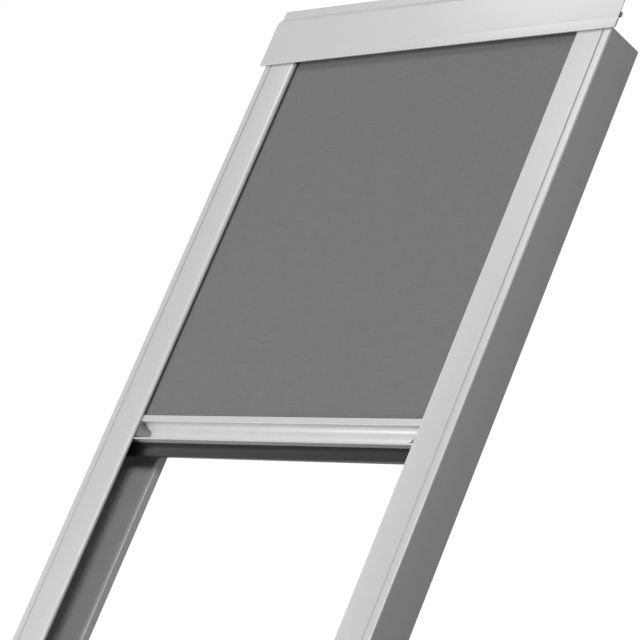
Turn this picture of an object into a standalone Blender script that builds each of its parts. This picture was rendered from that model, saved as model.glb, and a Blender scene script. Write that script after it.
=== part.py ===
"""Outside roller blind for a sloping roof window, in metres.

The blind lies on its back: +Z is the weather side, +Y runs up the roof slope and X runs across.
The origin is under the middle of the blind, on the plane of the rails' backs.
The fabric winds on a spring roller under the head cover, and the grip bar slides in the side rails.
"""

import math

import bmesh
import bpy
from mathutils import Matrix, Vector

MILLIMETRE = 0.001

# Overall sizes
BLIND_WIDTH = 0.780
BLIND_LENGTH = 1.400
GAP = 0.0003
RUNNING_GAP = 0.0004

# Side rails, drawn as the left one, with u from its outer side inwards
RAIL_DEPTH = 0.0697
RAIL_WALL = 0.0018
RAIL_FACE = 0.0732
RAIL_BACK_WIDTH = 0.0938
RAIL_BACK_DEPTH = 0.0135
RAIL_OUTER_ROUND = 0.0030
RAIL_LIP_ROUND = 0.0059
RAIL_LIP_DROP = 0.0066
RAIL_BACK_ROUND = 0.0010
GROOVE_START = 0.0130
GROOVE_WIDTH = 0.0070
GROOVE_DEPTH = 0.0008
PORT_START = 0.0420
PORT_WIDTH = 0.0070
TRACK_FRONT_DROP = 0.0135
TRACK_WIDTH = 0.0150
TRACK_RIB = 0.0015
TRACK_REACH = 0.0260
SEAL_HOLDER_START = 0.0610
SEAL_HOLDER_DROP = 0.0045

# Rail end caps, buffers and edge seals
END_CAP_PLATE = 0.0045
END_CAP_PLUG = 0.0160
BUFFER_WIDTH = 0.0140
BUFFER_LENGTH = 0.0295
BUFFER_EDGE = 0.0012
EDGE_SEAL_CLEAR = 0.0003
EDGE_SEAL_TAPER = 0.0012
EDGE_SEAL_TIP = 0.0016

# Fabric and its roll
FABRIC_THICKNESS = 0.0005
FABRIC_DROP = 0.0100
FABRIC_IN_RAIL = 0.0067
ROLL_RADIUS = 0.0212
ROLL_PITCH = 0.0011
ROLL_SIDES = 47
ROLLER_RISE = 0.0480

# Roller tube, shaft and spring
TUBE_RADIUS = 0.0175
TUBE_WALL = 0.0015
TUBE_PAST_FABRIC = 0.0005
PLUG_LENGTH = 0.0240
PLUG_FLANGE = 0.0018
SHAFT_RADIUS = 0.0040
SHAFT_LENGTH = 0.2200
BUSH_WALL = 0.0024
BUSH_COLLAR = 0.0012
COLLAR_STEP = 0.0020
ANCHOR_RADIUS = 0.0110
ANCHOR_LENGTH = 0.0100
SUPPORT_LENGTH = 0.0120
SPRING_WIRE_RADIUS = 0.0008
SPRING_RADIUS = 0.0080
SPRING_CURLS = 48
SPRING_POINTS_PER_CURL = 9

# Head cover and its carcass
COVER_DEPTH = 0.1147
COVER_OVERHANG = 0.0088
COVER_RISE = 0.0042
COVER_SHEET = 0.0016
COVER_LAP = 0.0033
COVER_PANEL = 0.0862
COVER_RISER_RUN = 0.0125
COVER_STRIP_DROP = 0.0068
HEM_DEPTH = 0.0034
HEM_WIDTH = 0.0160
HEM_SHEET = 0.0010
HOOK_PLACE = 0.0290
HOOK_DEPTH = 0.0076
HOOK_REACH = 0.0080
HOOK_SHEET = 0.0015
BRACKET_THICKNESS = 0.0050
BRACKET_START = 0.0040
BRACKET_END = 0.1100
BRACKET_DEPTH = 0.0490
TONGUE_LENGTH = 0.0320
TONGUE_WIDTH = 0.0130
TONGUE_THICKNESS = 0.0050
TONGUE_OVERLAP = 0.0060
TONGUE_SCREW_SHARES = (0.30, 0.75)
BRACKET_CHAMFER = 0.0120
WEB_RUN = 0.0045
WEB_HEIGHT = 0.0100
WEB_INSET = 0.0001
CARCASS_SHEET = 0.0012
CARCASS_DEPTH = 0.0572
CARCASS_START = 0.0120
CARCASS_LIP = 0.0100

# Bottom bar, drawn with v down from its top edge and z from its front
BAR_TOP_BELOW_COVER = 0.6732
BAR_HEIGHT = 0.0431
BAR_DEPTH = 0.0273
BAR_WALL = 0.0018
BAR_FRONT_DROP = 0.0072
BAR_END_IN_RAIL = 0.0400
BAR_BACK_ROUND = 0.0020
GRIP_START = 0.0111
GRIP_END = 0.0378
GRIP_DEPTH = 0.0130
GRIP_POWER = 4.0
SLOT_MOUTH = 0.0016
SLOT_CENTRE = 0.0080
SLOT_RADIUS = 0.0028
SPLINE_RADIUS = 0.0022
BAR_CAP_PLATE = 0.0030
BAR_CAP_INSET = 0.0006
GRIP_STOP_FACE = 0.0363
GRIP_STOP_INSET = 0.0003
GRIP_STOP_REACH = 0.0200
GRIP_STOP_FLARE_START = 0.0150
GRIP_STOP_FLARE_END = 0.0300
GLIDE_LENGTH = 0.0300
GLIDE_MIDDLE = 0.0245
GLIDE_REACH = 0.0335
GLIDE_STUB = 0.0120
GLIDE_STUB_OVERLAP = 0.0040
BRAKE_STRIP = 0.0004
BRAKE_WIDTH = 0.0080
BRAKE_LENGTH = 0.0240
BRAKE_POCKET = 0.0030
CUT_PAST = 0.0020
BAR_PORT_DOWN = 0.0046
BAR_PORT_DEPTH = 0.0165
BAR_PORT_WALL = 0.0014

# Weather seal under the bar
SEAL_HEIGHT = 0.0240
SEAL_FRONT = 0.0118
SEAL_THICKNESS = 0.0070
SEAL_BULGE = 0.0012
SEAL_BACK_CORNER = 0.0020
SEAL_NECK = 0.0030
SEAL_ROOT = 0.0058
SEAL_ROOT_HEIGHT = 0.0026
SEAL_NECK_HEIGHT = 0.0017

# Screws
SCREW_RADIUS = 0.0020
SCREW_HEAD_RADIUS = 0.0038
SCREW_HEAD_HEIGHT = 0.0022
SCREW_LENGTH = 0.0100
SCREW_CROWN_RADIUS = 0.72
SCREW_CROWN_HEIGHT = 0.45
SCREW_POINT = 0.40

# Places worked out from the sizes above
LEFT, RIGHT = -1, 1
SIDES = {"left": LEFT, "right": RIGHT}
HALF_WIDTH = BLIND_WIDTH / 2
COVER_TOP = BLIND_LENGTH / 2
COVER_BOTTOM = COVER_TOP - COVER_DEPTH
RAIL_TOP = COVER_BOTTOM + COVER_LAP
RAIL_BOTTOM = -BLIND_LENGTH / 2 + END_CAP_PLATE
FABRIC_Z = RAIL_DEPTH - FABRIC_DROP
ROLLER_Y = COVER_BOTTOM + ROLLER_RISE
ROLLER_Z = FABRIC_Z + FABRIC_THICKNESS / 2 - ROLL_RADIUS
BAR_TOP = COVER_BOTTOM - BAR_TOP_BELOW_COVER
BAR_FRONT = RAIL_DEPTH - BAR_FRONT_DROP
BAR_HALF = HALF_WIDTH - BAR_END_IN_RAIL
FABRIC_HALF = HALF_WIDTH - RAIL_FACE + FABRIC_IN_RAIL
TUBE_HALF = FABRIC_HALF + TUBE_PAST_FABRIC
BRACKET_INNER = TUBE_HALF + PLUG_FLANGE + 2 * RUNNING_GAP
SEAL_FRONT_Z = BAR_FRONT - SEAL_FRONT
TRACK_FRONT_Z = RAIL_DEPTH - TRACK_FRONT_DROP
TRACK_BACK_Z = TRACK_FRONT_Z - TRACK_WIDTH

# Frames that turn a drawing (across, up) into the world, with the drawing pushed along its normal
ALONG_SLOPE = Matrix(((1, 0, 0), (0, 0, -1), (0, 1, 0))).to_4x4()
ACROSS = Matrix(((0, 0, 1), (1, 0, 0), (0, 1, 0))).to_4x4()


def clear_scene():
    for obj in list(bpy.data.objects):
        bpy.data.objects.remove(obj, do_unlink=True)


def new_collection(name):
    collection = bpy.data.collections.new(name)
    bpy.context.scene.collection.children.link(collection)
    return collection


def new_material(name, colour, roughness, metallic=0.0):
    material = bpy.data.materials.new(name)
    material.use_nodes = True
    shader = material.node_tree.nodes["Principled BSDF"]
    shader.inputs["Base Color"].default_value = (*colour, 1.0)
    shader.inputs["Roughness"].default_value = roughness
    shader.inputs["Metallic"].default_value = metallic
    return material


def arc(centre, radius, start, end, steps):
    """Points of a round stretch, with its angles in degrees."""
    angles = [math.radians(start + (end - start) * i / steps) for i in range(steps + 1)]
    return [(centre[0] + radius * math.cos(a), centre[1] + radius * math.sin(a)) for a in angles]


def ring(centre, radius, sides):
    return arc(centre, radius, 0, 360, sides)[:-1]


def rectangle(low, high):
    return [low, (high[0], low[1]), high, (low[0], high[1])]


def mirrored(outline, side):
    """The outline for the left side, or turned over for the right one."""
    return [(-side * across, up) for across, up in outline]


def mesh_of_outlines(name, outlines, length):
    """A flat 2D curve with holes, extruded and welded into a closed mesh.

    The curve is drawn in millimetres, because the fill of its caps suits shapes of that size.
    """
    curve = bpy.data.curves.new(name, "CURVE")
    curve.dimensions = "2D"
    curve.fill_mode = "BOTH"
    curve.extrude = length / 2 / MILLIMETRE
    for outline in outlines:
        spline = curve.splines.new("POLY")
        spline.points.add(len(outline) - 1)
        for point, (across, up) in zip(spline.points, outline):
            point.co = (across / MILLIMETRE, up / MILLIMETRE, 0.0, 1.0)
        spline.use_cyclic_u = True
    drawing = bpy.data.objects.new(name + "_drawing", curve)
    bpy.context.scene.collection.objects.link(drawing)
    graph = bpy.context.evaluated_depsgraph_get()
    mesh = bpy.data.meshes.new_from_object(drawing.evaluated_get(graph))
    bpy.data.objects.remove(drawing, do_unlink=True)
    bpy.data.curves.remove(curve)
    mesh.transform(Matrix.Scale(MILLIMETRE, 4))
    tidy_mesh(mesh)
    mesh.name = name
    return mesh


def is_level(face):
    heights = [vert.co.z for vert in face.verts]
    return max(heights) - min(heights) < 1e-7


def tidy_mesh(mesh):
    body = bmesh.new()
    body.from_mesh(mesh)
    bmesh.ops.remove_doubles(body, verts=body.verts, dist=1e-6)
    caps = [face for face in body.faces if is_level(face)]
    inner = {edge for face in caps for edge in face.edges if all(map(is_level, edge.link_faces))}
    bmesh.ops.beautify_fill(body, faces=caps, edges=list(inner), method="AREA")
    bmesh.ops.recalc_face_normals(body, faces=body.faces)
    body.to_mesh(mesh)
    body.free()


def place(name, mesh, material, collection, matrix):
    """Puts a mesh into the scene as a named part."""
    obj = bpy.data.objects.new(name, mesh)
    obj.matrix_world = matrix
    mesh.materials.clear()
    mesh.materials.append(material)
    collection.objects.link(obj)
    return obj


def extrusion(name, outlines, start, end, frame, material, collection, at=(0, 0, 0)):
    """A drawing pushed from start to end along its frame's normal."""
    mesh = mesh_of_outlines(name, outlines, end - start)
    lift = Matrix.Translation((0, 0, (start + end) / 2))
    return place(name, mesh, material, collection, Matrix.Translation(at) @ frame @ lift)


def across_blind(name, outlines, start, end, material, collection):
    """A drawing of (y, z) pushed along X."""
    return extrusion(name, outlines, start, end, ACROSS, material, collection)


def along_rail(name, side, outlines, low, high, material, collection):
    """A drawing of (u, z) pushed along Y, from y = low to y = high."""
    turned = [mirrored(outline, side) for outline in outlines]
    at = (side * HALF_WIDTH, 0, 0)
    return extrusion(name, turned, -high, -low, ALONG_SLOPE, material, collection, at)


def cylinder(name, radius, length, centre, direction, collection, material=None, sides=32):
    """A round bar about its centre, along X, Y or Z."""
    mesh = bpy.data.meshes.new(name)
    body = bmesh.new()
    bmesh.ops.create_cone(
        body, cap_ends=True, segments=sides, radius1=radius, radius2=radius, depth=length
    )
    body.to_mesh(mesh)
    body.free()
    turn = {
        "X": Matrix.Rotation(math.radians(90), 4, "Y"),
        "Y": Matrix.Rotation(math.radians(-90), 4, "X"),
        "Z": Matrix.Identity(4),
    }[direction]
    obj = bpy.data.objects.new(name, mesh)
    obj.matrix_world = Matrix.Translation(centre) @ turn
    if material:
        mesh.materials.append(material)
    collection.objects.link(obj)
    return obj


def turned(name, profile, centre, material, collection, steps=32):
    """A turned piece about the X axis, from (x, radius) points along its outer side."""
    mesh = bpy.data.meshes.new(name)
    points = [(radius, 0.0, along) for along, radius in profile]
    edges = [(i, i + 1) for i in range(len(points) - 1)]
    if profile[0][1] > 0 and profile[-1] != profile[0]:
        edges.append((len(points) - 1, 0))
    mesh.from_pydata(points, edges, [])
    obj = place(name, mesh, material, collection, Matrix.Translation(centre) @ Matrix.Rotation(
        math.radians(90), 4, "Y"))
    screw = obj.modifiers.new("Turn", "SCREW")
    screw.axis = "Z"
    screw.steps = steps
    screw.render_steps = steps
    screw.use_merge_vertices = True
    screw.merge_threshold = 1e-6
    graph = bpy.context.evaluated_depsgraph_get()
    solid = bpy.data.meshes.new_from_object(obj.evaluated_get(graph))
    tidy_mesh(solid)
    obj.modifiers.clear()
    obj.data = solid
    return obj


def boolean(target, tool, operation, cutters):
    """Cuts or joins with a helper that is kept out of the render."""
    modifier = target.modifiers.new(f"{operation.title()} {tool.name}", "BOOLEAN")
    modifier.operation = operation
    modifier.object = tool
    tool.hide_render = True
    tool.display_type = "WIRE"
    for collection in list(tool.users_collection):
        collection.objects.unlink(tool)
    cutters.objects.link(tool)


def rail_outline():
    """The left rail's section: face with its groove, lip, seal holder, track ribs and back box."""
    front, wall = RAIL_DEPTH, RAIL_WALL
    lip_centre = (RAIL_FACE - RAIL_LIP_ROUND, front - RAIL_LIP_ROUND)
    groove_end = GROOVE_START + GROOVE_WIDTH
    slope = GROOVE_DEPTH
    outline = [(0, 0)]
    outline += arc((RAIL_OUTER_ROUND, front - RAIL_OUTER_ROUND), RAIL_OUTER_ROUND, 180, 90, 4)
    outline += [
        (GROOVE_START, front),
        (GROOVE_START + slope, front - GROOVE_DEPTH),
        (groove_end - slope, front - GROOVE_DEPTH),
        (groove_end, front),
    ]
    outline += arc(lip_centre, RAIL_LIP_ROUND, 90, 0, 6)
    outline += [(RAIL_FACE, front - RAIL_LIP_DROP), (RAIL_FACE - wall, front - RAIL_LIP_DROP)]
    outline += arc(lip_centre, RAIL_LIP_ROUND - wall, 0, 90, 5)
    holder_low = front - wall - SEAL_HOLDER_DROP
    outline += [
        (SEAL_HOLDER_START + TRACK_RIB, front - wall),
        (SEAL_HOLDER_START + TRACK_RIB, holder_low),
        (SEAL_HOLDER_START, holder_low),
        (SEAL_HOLDER_START, front - wall),
        (groove_end + wall, front - wall),
        (groove_end + wall - slope, front - wall - GROOVE_DEPTH),
        (GROOVE_START - wall + slope, front - wall - GROOVE_DEPTH),
        (GROOVE_START - wall, front - wall),
        (wall, front - wall),
    ]
    for rib_low in (TRACK_FRONT_Z, TRACK_BACK_Z - TRACK_RIB):
        outline += [
            (wall, rib_low + TRACK_RIB),
            (TRACK_REACH, rib_low + TRACK_RIB),
            (TRACK_REACH, rib_low),
            (wall, rib_low),
        ]
    back_corner = RAIL_BACK_WIDTH - RAIL_BACK_ROUND
    outline += [(wall, RAIL_BACK_DEPTH)]
    outline += arc((back_corner, RAIL_BACK_DEPTH - RAIL_BACK_ROUND), RAIL_BACK_ROUND, 90, 0, 3)
    outline += arc((back_corner, RAIL_BACK_ROUND), RAIL_BACK_ROUND, 0, -90, 3)
    return outline


def rail_chambers():
    """The two hollows of the back box and the screw port between them."""
    wall, inner = RAIL_WALL, RAIL_BACK_DEPTH - RAIL_WALL
    outer_chamber = rectangle((wall, wall), (PORT_START, inner))
    inner_chamber = rectangle((PORT_START + PORT_WIDTH, wall), (RAIL_BACK_WIDTH - wall, inner))
    port = ring(port_centre(), SCREW_RADIUS + GAP, 16)
    return [outer_chamber, inner_chamber, port]


def port_centre():
    return (PORT_START + PORT_WIDTH / 2, RAIL_BACK_DEPTH / 2)


def tongue_screws(side):
    """Where the two screws of a head bracket go, as (x, y)."""
    x = side * (BRACKET_INNER + TONGUE_WIDTH / 2)
    return [(x, RAIL_TOP - TONGUE_LENGTH * share) for share in TONGUE_SCREW_SHARES]


def side_rail(label, side, material, parts, cutters):
    name = f"{label}_side_rail"
    outlines = [rail_outline()] + rail_chambers()
    rail = along_rail(name, side, outlines, RAIL_BOTTOM, RAIL_TOP, material, parts)
    for number, (x, y) in enumerate(tongue_screws(side), 1):
        hole = cylinder(
            f"{label}_rail_hole_{number}",
            SCREW_RADIUS + GAP,
            3 * RAIL_WALL,
            (x, y, RAIL_BACK_DEPTH - RAIL_WALL / 2),
            "Z",
            cutters,
            sides=16,
        )
        boolean(rail, hole, "DIFFERENCE", cutters)


def rail_end_cap(label, side, material, parts, cutters):
    """A cover plate over the rail's open foot, with plugs that enter the back box."""
    base = -BLIND_LENGTH / 2
    plate_outline = [(0, 0), (RAIL_BACK_WIDTH, 0), (RAIL_BACK_WIDTH, RAIL_BACK_DEPTH)]
    plate_outline += [(RAIL_FACE, RAIL_BACK_DEPTH)]
    plate_outline += [(RAIL_FACE, RAIL_DEPTH - RAIL_LIP_ROUND)]
    plate_outline += arc(
        (RAIL_FACE - RAIL_LIP_ROUND, RAIL_DEPTH - RAIL_LIP_ROUND), RAIL_LIP_ROUND, 0, 90, 6
    )
    plate_outline += arc(
        (RAIL_OUTER_ROUND, RAIL_DEPTH - RAIL_OUTER_ROUND), RAIL_OUTER_ROUND, 90, 180, 4
    )
    plate_end = base + END_CAP_PLATE - GAP
    name = f"{label}_rail_end_cap"
    cap = along_rail(name, side, [plate_outline], base, plate_end, material, parts)
    low, high = RAIL_WALL + GAP, RAIL_BACK_DEPTH - RAIL_WALL - GAP
    spans = {
        "outer": (low, PORT_START - GAP),
        "inner": (PORT_START + PORT_WIDTH + GAP, RAIL_BACK_WIDTH - low),
    }
    for position, (first, last) in spans.items():
        plug = along_rail(
            f"{label}_cap_{position}_plug",
            side,
            [rectangle((first, low), (last, high))],
            base + END_CAP_PLATE / 2,
            base + END_CAP_PLUG,
            material,
            cutters,
        )
        boolean(cap, plug, "UNION", cutters)
    u, z = port_centre()
    hole = cylinder(
        f"{label}_cap_hole",
        SCREW_RADIUS + GAP,
        4 * END_CAP_PLATE,
        (side * (HALF_WIDTH - u), base, z),
        "Y",
        cutters,
        sides=16,
    )
    boolean(cap, hole, "DIFFERENCE", cutters)
    pocket = cylinder(
        f"{label}_cap_pocket",
        SCREW_HEAD_RADIUS + GAP,
        2 * (SCREW_HEAD_HEIGHT + GAP),
        (side * (HALF_WIDTH - u), base, z),
        "Y",
        cutters,
        sides=24,
    )
    boolean(cap, pocket, "DIFFERENCE", cutters)


def stop_buffer(label, side, material, parts):
    """A rubber block on the end cap, where the bar's glide lands."""
    u = (RAIL_WALL + TRACK_REACH) / 2
    low = TRACK_BACK_Z + GAP
    outline = rectangle(
        (u - BUFFER_WIDTH / 2, low), (u + BUFFER_WIDTH / 2, low + TRACK_WIDTH - 2 * GAP)
    )
    name = f"{label}_stop_buffer"
    top = RAIL_BOTTOM + BUFFER_LENGTH
    buffer = along_rail(name, side, [outline], RAIL_BOTTOM, top, material, parts)
    edge = buffer.modifiers.new("Soft edges", "BEVEL")
    edge.width = BUFFER_EDGE
    edge.segments = 2


def edge_seal(label, side, material, parts):
    """The dark strip between a rail's lip and the fabric."""
    top = RAIL_DEPTH - RAIL_WALL - GAP
    low = BAR_FRONT + EDGE_SEAL_CLEAR
    first = SEAL_HOLDER_START + TRACK_RIB + GAP
    last = RAIL_FACE - RAIL_LIP_ROUND - GAP
    tip = (first + last) / 2
    outline = [
        (first, top),
        (first, low + EDGE_SEAL_TAPER),
        (tip - EDGE_SEAL_TIP / 2, low),
        (tip + EDGE_SEAL_TIP / 2, low),
        (last, low + EDGE_SEAL_TAPER),
        (last, top),
    ]
    name = f"{label}_edge_seal"
    along_rail(name, side, [outline], RAIL_BOTTOM, RAIL_TOP, material, parts)


def pan_head_screw(name, base, direction, material, parts):
    """A pan-head screw: base is under its head, and direction points along its shank."""
    head, length = SCREW_HEAD_HEIGHT, SCREW_LENGTH
    profile = [
        (-head, 0.0),
        (-head, SCREW_HEAD_RADIUS * SCREW_CROWN_RADIUS),
        (-head * SCREW_CROWN_HEIGHT, SCREW_HEAD_RADIUS),
        (0.0, SCREW_HEAD_RADIUS),
        (0.0, SCREW_RADIUS),
        (length - SCREW_RADIUS, SCREW_RADIUS),
        (length, SCREW_RADIUS * SCREW_POINT),
        (length, 0.0),
    ]
    screw = turned(name, profile, (0, 0, 0), material, parts, steps=16)
    along = Vector((1, 0, 0)).rotation_difference(Vector(direction)).to_matrix().to_4x4()
    screw.matrix_world = Matrix.Translation(base) @ along @ screw.matrix_world


def head_cover(material, parts):
    """The extruded cover: panel, riser, top strip, folded hem and the hook that clips it on."""
    face = RAIL_DEPTH + COVER_RISE
    under = face - COVER_SHEET
    bottom, top = COVER_BOTTOM, COVER_TOP
    riser_start = bottom + COVER_PANEL
    riser_end = riser_start + COVER_RISER_RUN
    strip = face - COVER_STRIP_DROP
    hook_back = bottom + HOOK_PLACE
    hook_low = face - HOOK_DEPTH
    hem_low = face - HEM_DEPTH
    # the sheet keeps its thickness round the riser's two bends
    lean = COVER_SHEET * math.tan(math.atan2(COVER_STRIP_DROP, COVER_RISER_RUN) / 2)
    outline = [
        (bottom, face),
        (riser_start, face),
        (riser_end, strip),
        (top, strip),
        (top, strip - COVER_SHEET),
        (riser_end - lean, strip - COVER_SHEET),
        (riser_start - lean, under),
        (hook_back, under),
        (hook_back, hook_low),
        (hook_back - HOOK_REACH, hook_low),
        (hook_back - HOOK_REACH, hook_low + HOOK_SHEET),
        (hook_back - HOOK_SHEET, hook_low + HOOK_SHEET),
        (hook_back - HOOK_SHEET, under),
        (bottom + HEM_SHEET, under),
        (bottom + HEM_SHEET, hem_low + HEM_SHEET),
        (bottom + HEM_WIDTH, hem_low + HEM_SHEET),
        (bottom + HEM_WIDTH, hem_low),
        (bottom, hem_low),
    ]
    half = HALF_WIDTH + COVER_OVERHANG
    across_blind("head_cover", [outline], -half, half, material, parts)


def head_carcass(material, parts):
    """The folded sheet behind the roller: top wall, back wall and a short front lip."""
    sheet = CARCASS_SHEET
    top = COVER_BOTTOM + BRACKET_END
    high = RAIL_DEPTH + COVER_RISE - COVER_STRIP_DROP - COVER_SHEET - GAP
    back = RAIL_DEPTH - CARCASS_DEPTH
    start = COVER_BOTTOM + CARCASS_START
    outline = [
        (top, high),
        (top, back),
        (start, back),
        (start, back + CARCASS_LIP),
        (start + sheet, back + CARCASS_LIP),
        (start + sheet, back + sheet),
        (top - sheet, back + sheet),
        (top - sheet, high),
    ]
    half = BRACKET_INNER - GAP
    across_blind("head_carcass", [outline], -half, half, material, parts)


def head_bracket(label, side, material, parts, cutters):
    """The end plate that carries the roller, with a foot screwed into its rail."""
    face = RAIL_DEPTH + COVER_RISE
    strip_under = face - COVER_STRIP_DROP - COVER_SHEET - GAP
    start, end = COVER_BOTTOM + BRACKET_START, COVER_BOTTOM + BRACKET_END
    low = RAIL_DEPTH - BRACKET_DEPTH
    hook_low = face - HOOK_DEPTH - GAP
    hook_end = COVER_BOTTOM + HOOK_PLACE + GAP
    panel_under = face - COVER_SHEET - GAP
    panel_end = COVER_BOTTOM + COVER_PANEL - COVER_SHEET
    outline = [(start, low), (start, hook_low), (hook_end, hook_low), (hook_end, panel_under)]
    outline += [(panel_end, panel_under), (panel_end + COVER_RISER_RUN, strip_under)]
    outline += [(end, strip_under)]
    outline += [(end, low + BRACKET_CHAMFER), (end - BRACKET_CHAMFER, low)]
    first = side * BRACKET_INNER
    last = side * (BRACKET_INNER + BRACKET_THICKNESS)
    span = sorted((first, last))
    name = f"{label}_head_bracket"
    bracket = across_blind(name, [outline], *span, material, parts)
    foot_low = RAIL_BACK_DEPTH + GAP
    foot_span = sorted((first, side * (BRACKET_INNER + TONGUE_WIDTH)))
    foot_outline = rectangle(
        (RAIL_TOP - TONGUE_LENGTH, foot_low),
        (start + TONGUE_OVERLAP, foot_low + TONGUE_THICKNESS),
    )
    foot = across_blind(f"{label}_foot", [foot_outline], *foot_span, material, cutters)
    boolean(bracket, foot, "UNION", cutters)
    web_outline = [
        (start - WEB_RUN, foot_low + TONGUE_THICKNESS / 2),
        (start + TONGUE_OVERLAP, foot_low + TONGUE_THICKNESS / 2),
        (start + TONGUE_OVERLAP, low + WEB_HEIGHT),
        (start - WEB_INSET, low + WEB_HEIGHT),
    ]
    web = across_blind(f"{label}_web", [web_outline], *span, material, cutters)
    boolean(bracket, web, "UNION", cutters)
    radius = SHAFT_RADIUS + (GAP if side == RIGHT else BUSH_WALL + 2 * GAP)
    centre_x = side * (BRACKET_INNER + BRACKET_THICKNESS / 2)
    hole = cylinder(
        f"{label}_bearing_hole",
        radius,
        3 * BRACKET_THICKNESS,
        (centre_x, ROLLER_Y, ROLLER_Z),
        "X",
        cutters,
    )
    boolean(bracket, hole, "DIFFERENCE", cutters)
    for number, (x, y) in enumerate(tongue_screws(side), 1):
        hole = cylinder(
            f"{label}_foot_hole_{number}",
            SCREW_RADIUS + GAP,
            3 * TONGUE_THICKNESS,
            (x, y, foot_low + TONGUE_THICKNESS / 2),
            "Z",
            cutters,
            sides=16,
        )
        boolean(bracket, hole, "DIFFERENCE", cutters)


def roller_tube(material, parts):
    inner = TUBE_RADIUS - TUBE_WALL
    profile = [(-TUBE_HALF, TUBE_RADIUS), (TUBE_HALF, TUBE_RADIUS)]
    profile += [(TUBE_HALF, inner), (-TUBE_HALF, inner)]
    turned("roller_tube", profile, (0, ROLLER_Y, ROLLER_Z), material, parts)


def end_plugs(material, parts):
    """The plug with a pin on the idle side, and the one that turns on the fixed shaft."""
    centre = (0, ROLLER_Y, ROLLER_Z)
    seat = TUBE_RADIUS - TUBE_WALL - GAP
    flange_start = TUBE_HALF + RUNNING_GAP
    flange_end = flange_start + PLUG_FLANGE
    plug_start = TUBE_HALF - PLUG_LENGTH
    pin_end = BRACKET_INNER + BRACKET_THICKNESS
    idle = [
        (-pin_end, 0.0),
        (-pin_end, SHAFT_RADIUS),
        (-flange_end, SHAFT_RADIUS),
        (-flange_end, TUBE_RADIUS),
        (-flange_start, TUBE_RADIUS),
        (-flange_start, seat),
        (-plug_start, seat),
        (-plug_start, 0.0),
    ]
    turned("idle_end_plug", idle, centre, material, parts)
    bore = SHAFT_RADIUS + GAP
    driven = [
        (plug_start, seat),
        (flange_start, seat),
        (flange_start, TUBE_RADIUS),
        (flange_end, TUBE_RADIUS),
        (flange_end, bore),
        (plug_start, bore),
    ]
    turned("spring_end_plug", driven, centre, material, parts)


def bearing_bush(material, parts):
    """The collared bush in the left bracket that the roller's pin turns in."""
    bore = SHAFT_RADIUS + GAP
    outer = SHAFT_RADIUS + BUSH_WALL + GAP
    end = -(BRACKET_INNER + BRACKET_THICKNESS)
    collar_end = end - GAP - BUSH_COLLAR
    profile = [
        (collar_end, outer + COLLAR_STEP),
        (end - GAP, outer + COLLAR_STEP),
        (end - GAP, outer),
        (-BRACKET_INNER, outer),
        (-BRACKET_INNER, bore),
        (collar_end, bore),
    ]
    turned("idle_bearing_bush", profile, (0, ROLLER_Y, ROLLER_Z), material, parts)


def spring_shaft(material, parts):
    """The fixed shaft, with the head that keeps it in the right bracket."""
    end = BRACKET_INNER + BRACKET_THICKNESS
    start = end - SHAFT_LENGTH
    profile = [
        (start, 0.0),
        (start, SHAFT_RADIUS),
        (end + GAP, SHAFT_RADIUS),
        (end + GAP, SHAFT_RADIUS + COLLAR_STEP),
        (end + GAP + BUSH_COLLAR, SHAFT_RADIUS + COLLAR_STEP),
        (end + GAP + BUSH_COLLAR, 0.0),
    ]
    turned("spring_shaft", profile, (0, ROLLER_Y, ROLLER_Z), material, parts)
    return start


def spring_anchor(shaft_start, material, parts):
    """The collar that holds the spring's still end on the shaft."""
    start = shaft_start + SUPPORT_LENGTH + 2 * RUNNING_GAP
    end = start + ANCHOR_LENGTH
    bore = SHAFT_RADIUS + GAP
    profile = [(start, ANCHOR_RADIUS), (end, ANCHOR_RADIUS), (end, bore), (start, bore)]
    turned("spring_anchor", profile, (0, ROLLER_Y, ROLLER_Z), material, parts)
    return end


def support_bush(shaft_start, material, parts):
    """The bush that centres the shaft's free end in the turning tube."""
    seat = TUBE_RADIUS - TUBE_WALL - GAP
    bore = SHAFT_RADIUS + GAP
    start, end = shaft_start, shaft_start + SUPPORT_LENGTH
    profile = [(start, seat), (end, seat), (end, bore), (start, bore)]
    turned("shaft_support_bush", profile, (0, ROLLER_Y, ROLLER_Z), material, parts)


def counterbalance_spring(start, material, parts):
    """One unbroken coil between the anchor and the plug that turns."""
    first = start + GAP + SPRING_WIRE_RADIUS
    last = TUBE_HALF - PLUG_LENGTH - GAP - SPRING_WIRE_RADIUS
    count = SPRING_CURLS * SPRING_POINTS_PER_CURL
    points = []
    for i in range(count + 1):
        share = i / count
        angle = 2 * math.pi * SPRING_CURLS * share
        points.append(
            (
                first + (last - first) * share,
                ROLLER_Y + SPRING_RADIUS * math.cos(angle),
                ROLLER_Z + SPRING_RADIUS * math.sin(angle),
            )
        )
    curve = bpy.data.curves.new("counterbalance_spring", "CURVE")
    curve.dimensions = "3D"
    curve.bevel_depth = SPRING_WIRE_RADIUS
    curve.bevel_resolution = 1
    curve.use_fill_caps = True
    spline = curve.splines.new("POLY")
    spline.points.add(count)
    for point, co in zip(spline.points, points):
        point.co = (*co, 1.0)
    curve.materials.append(material)
    obj = bpy.data.objects.new("counterbalance_spring", curve)
    parts.objects.link(obj)
    pitch = (last - first) / SPRING_CURLS
    turn = [points[i] for i in range(SPRING_POINTS_PER_CURL, 2 * SPRING_POINTS_PER_CURL + 1)]
    least = min(
        math.dist(a, b) for a in turn for b in turn if abs(turn.index(a) - turn.index(b)) > 4
    )
    gap = least - 2 * SPRING_WIRE_RADIUS
    print(f"counterbalance spring: pitch {pitch * 1000:.2f} mm, least gap {gap * 1000:.2f} mm")


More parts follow.
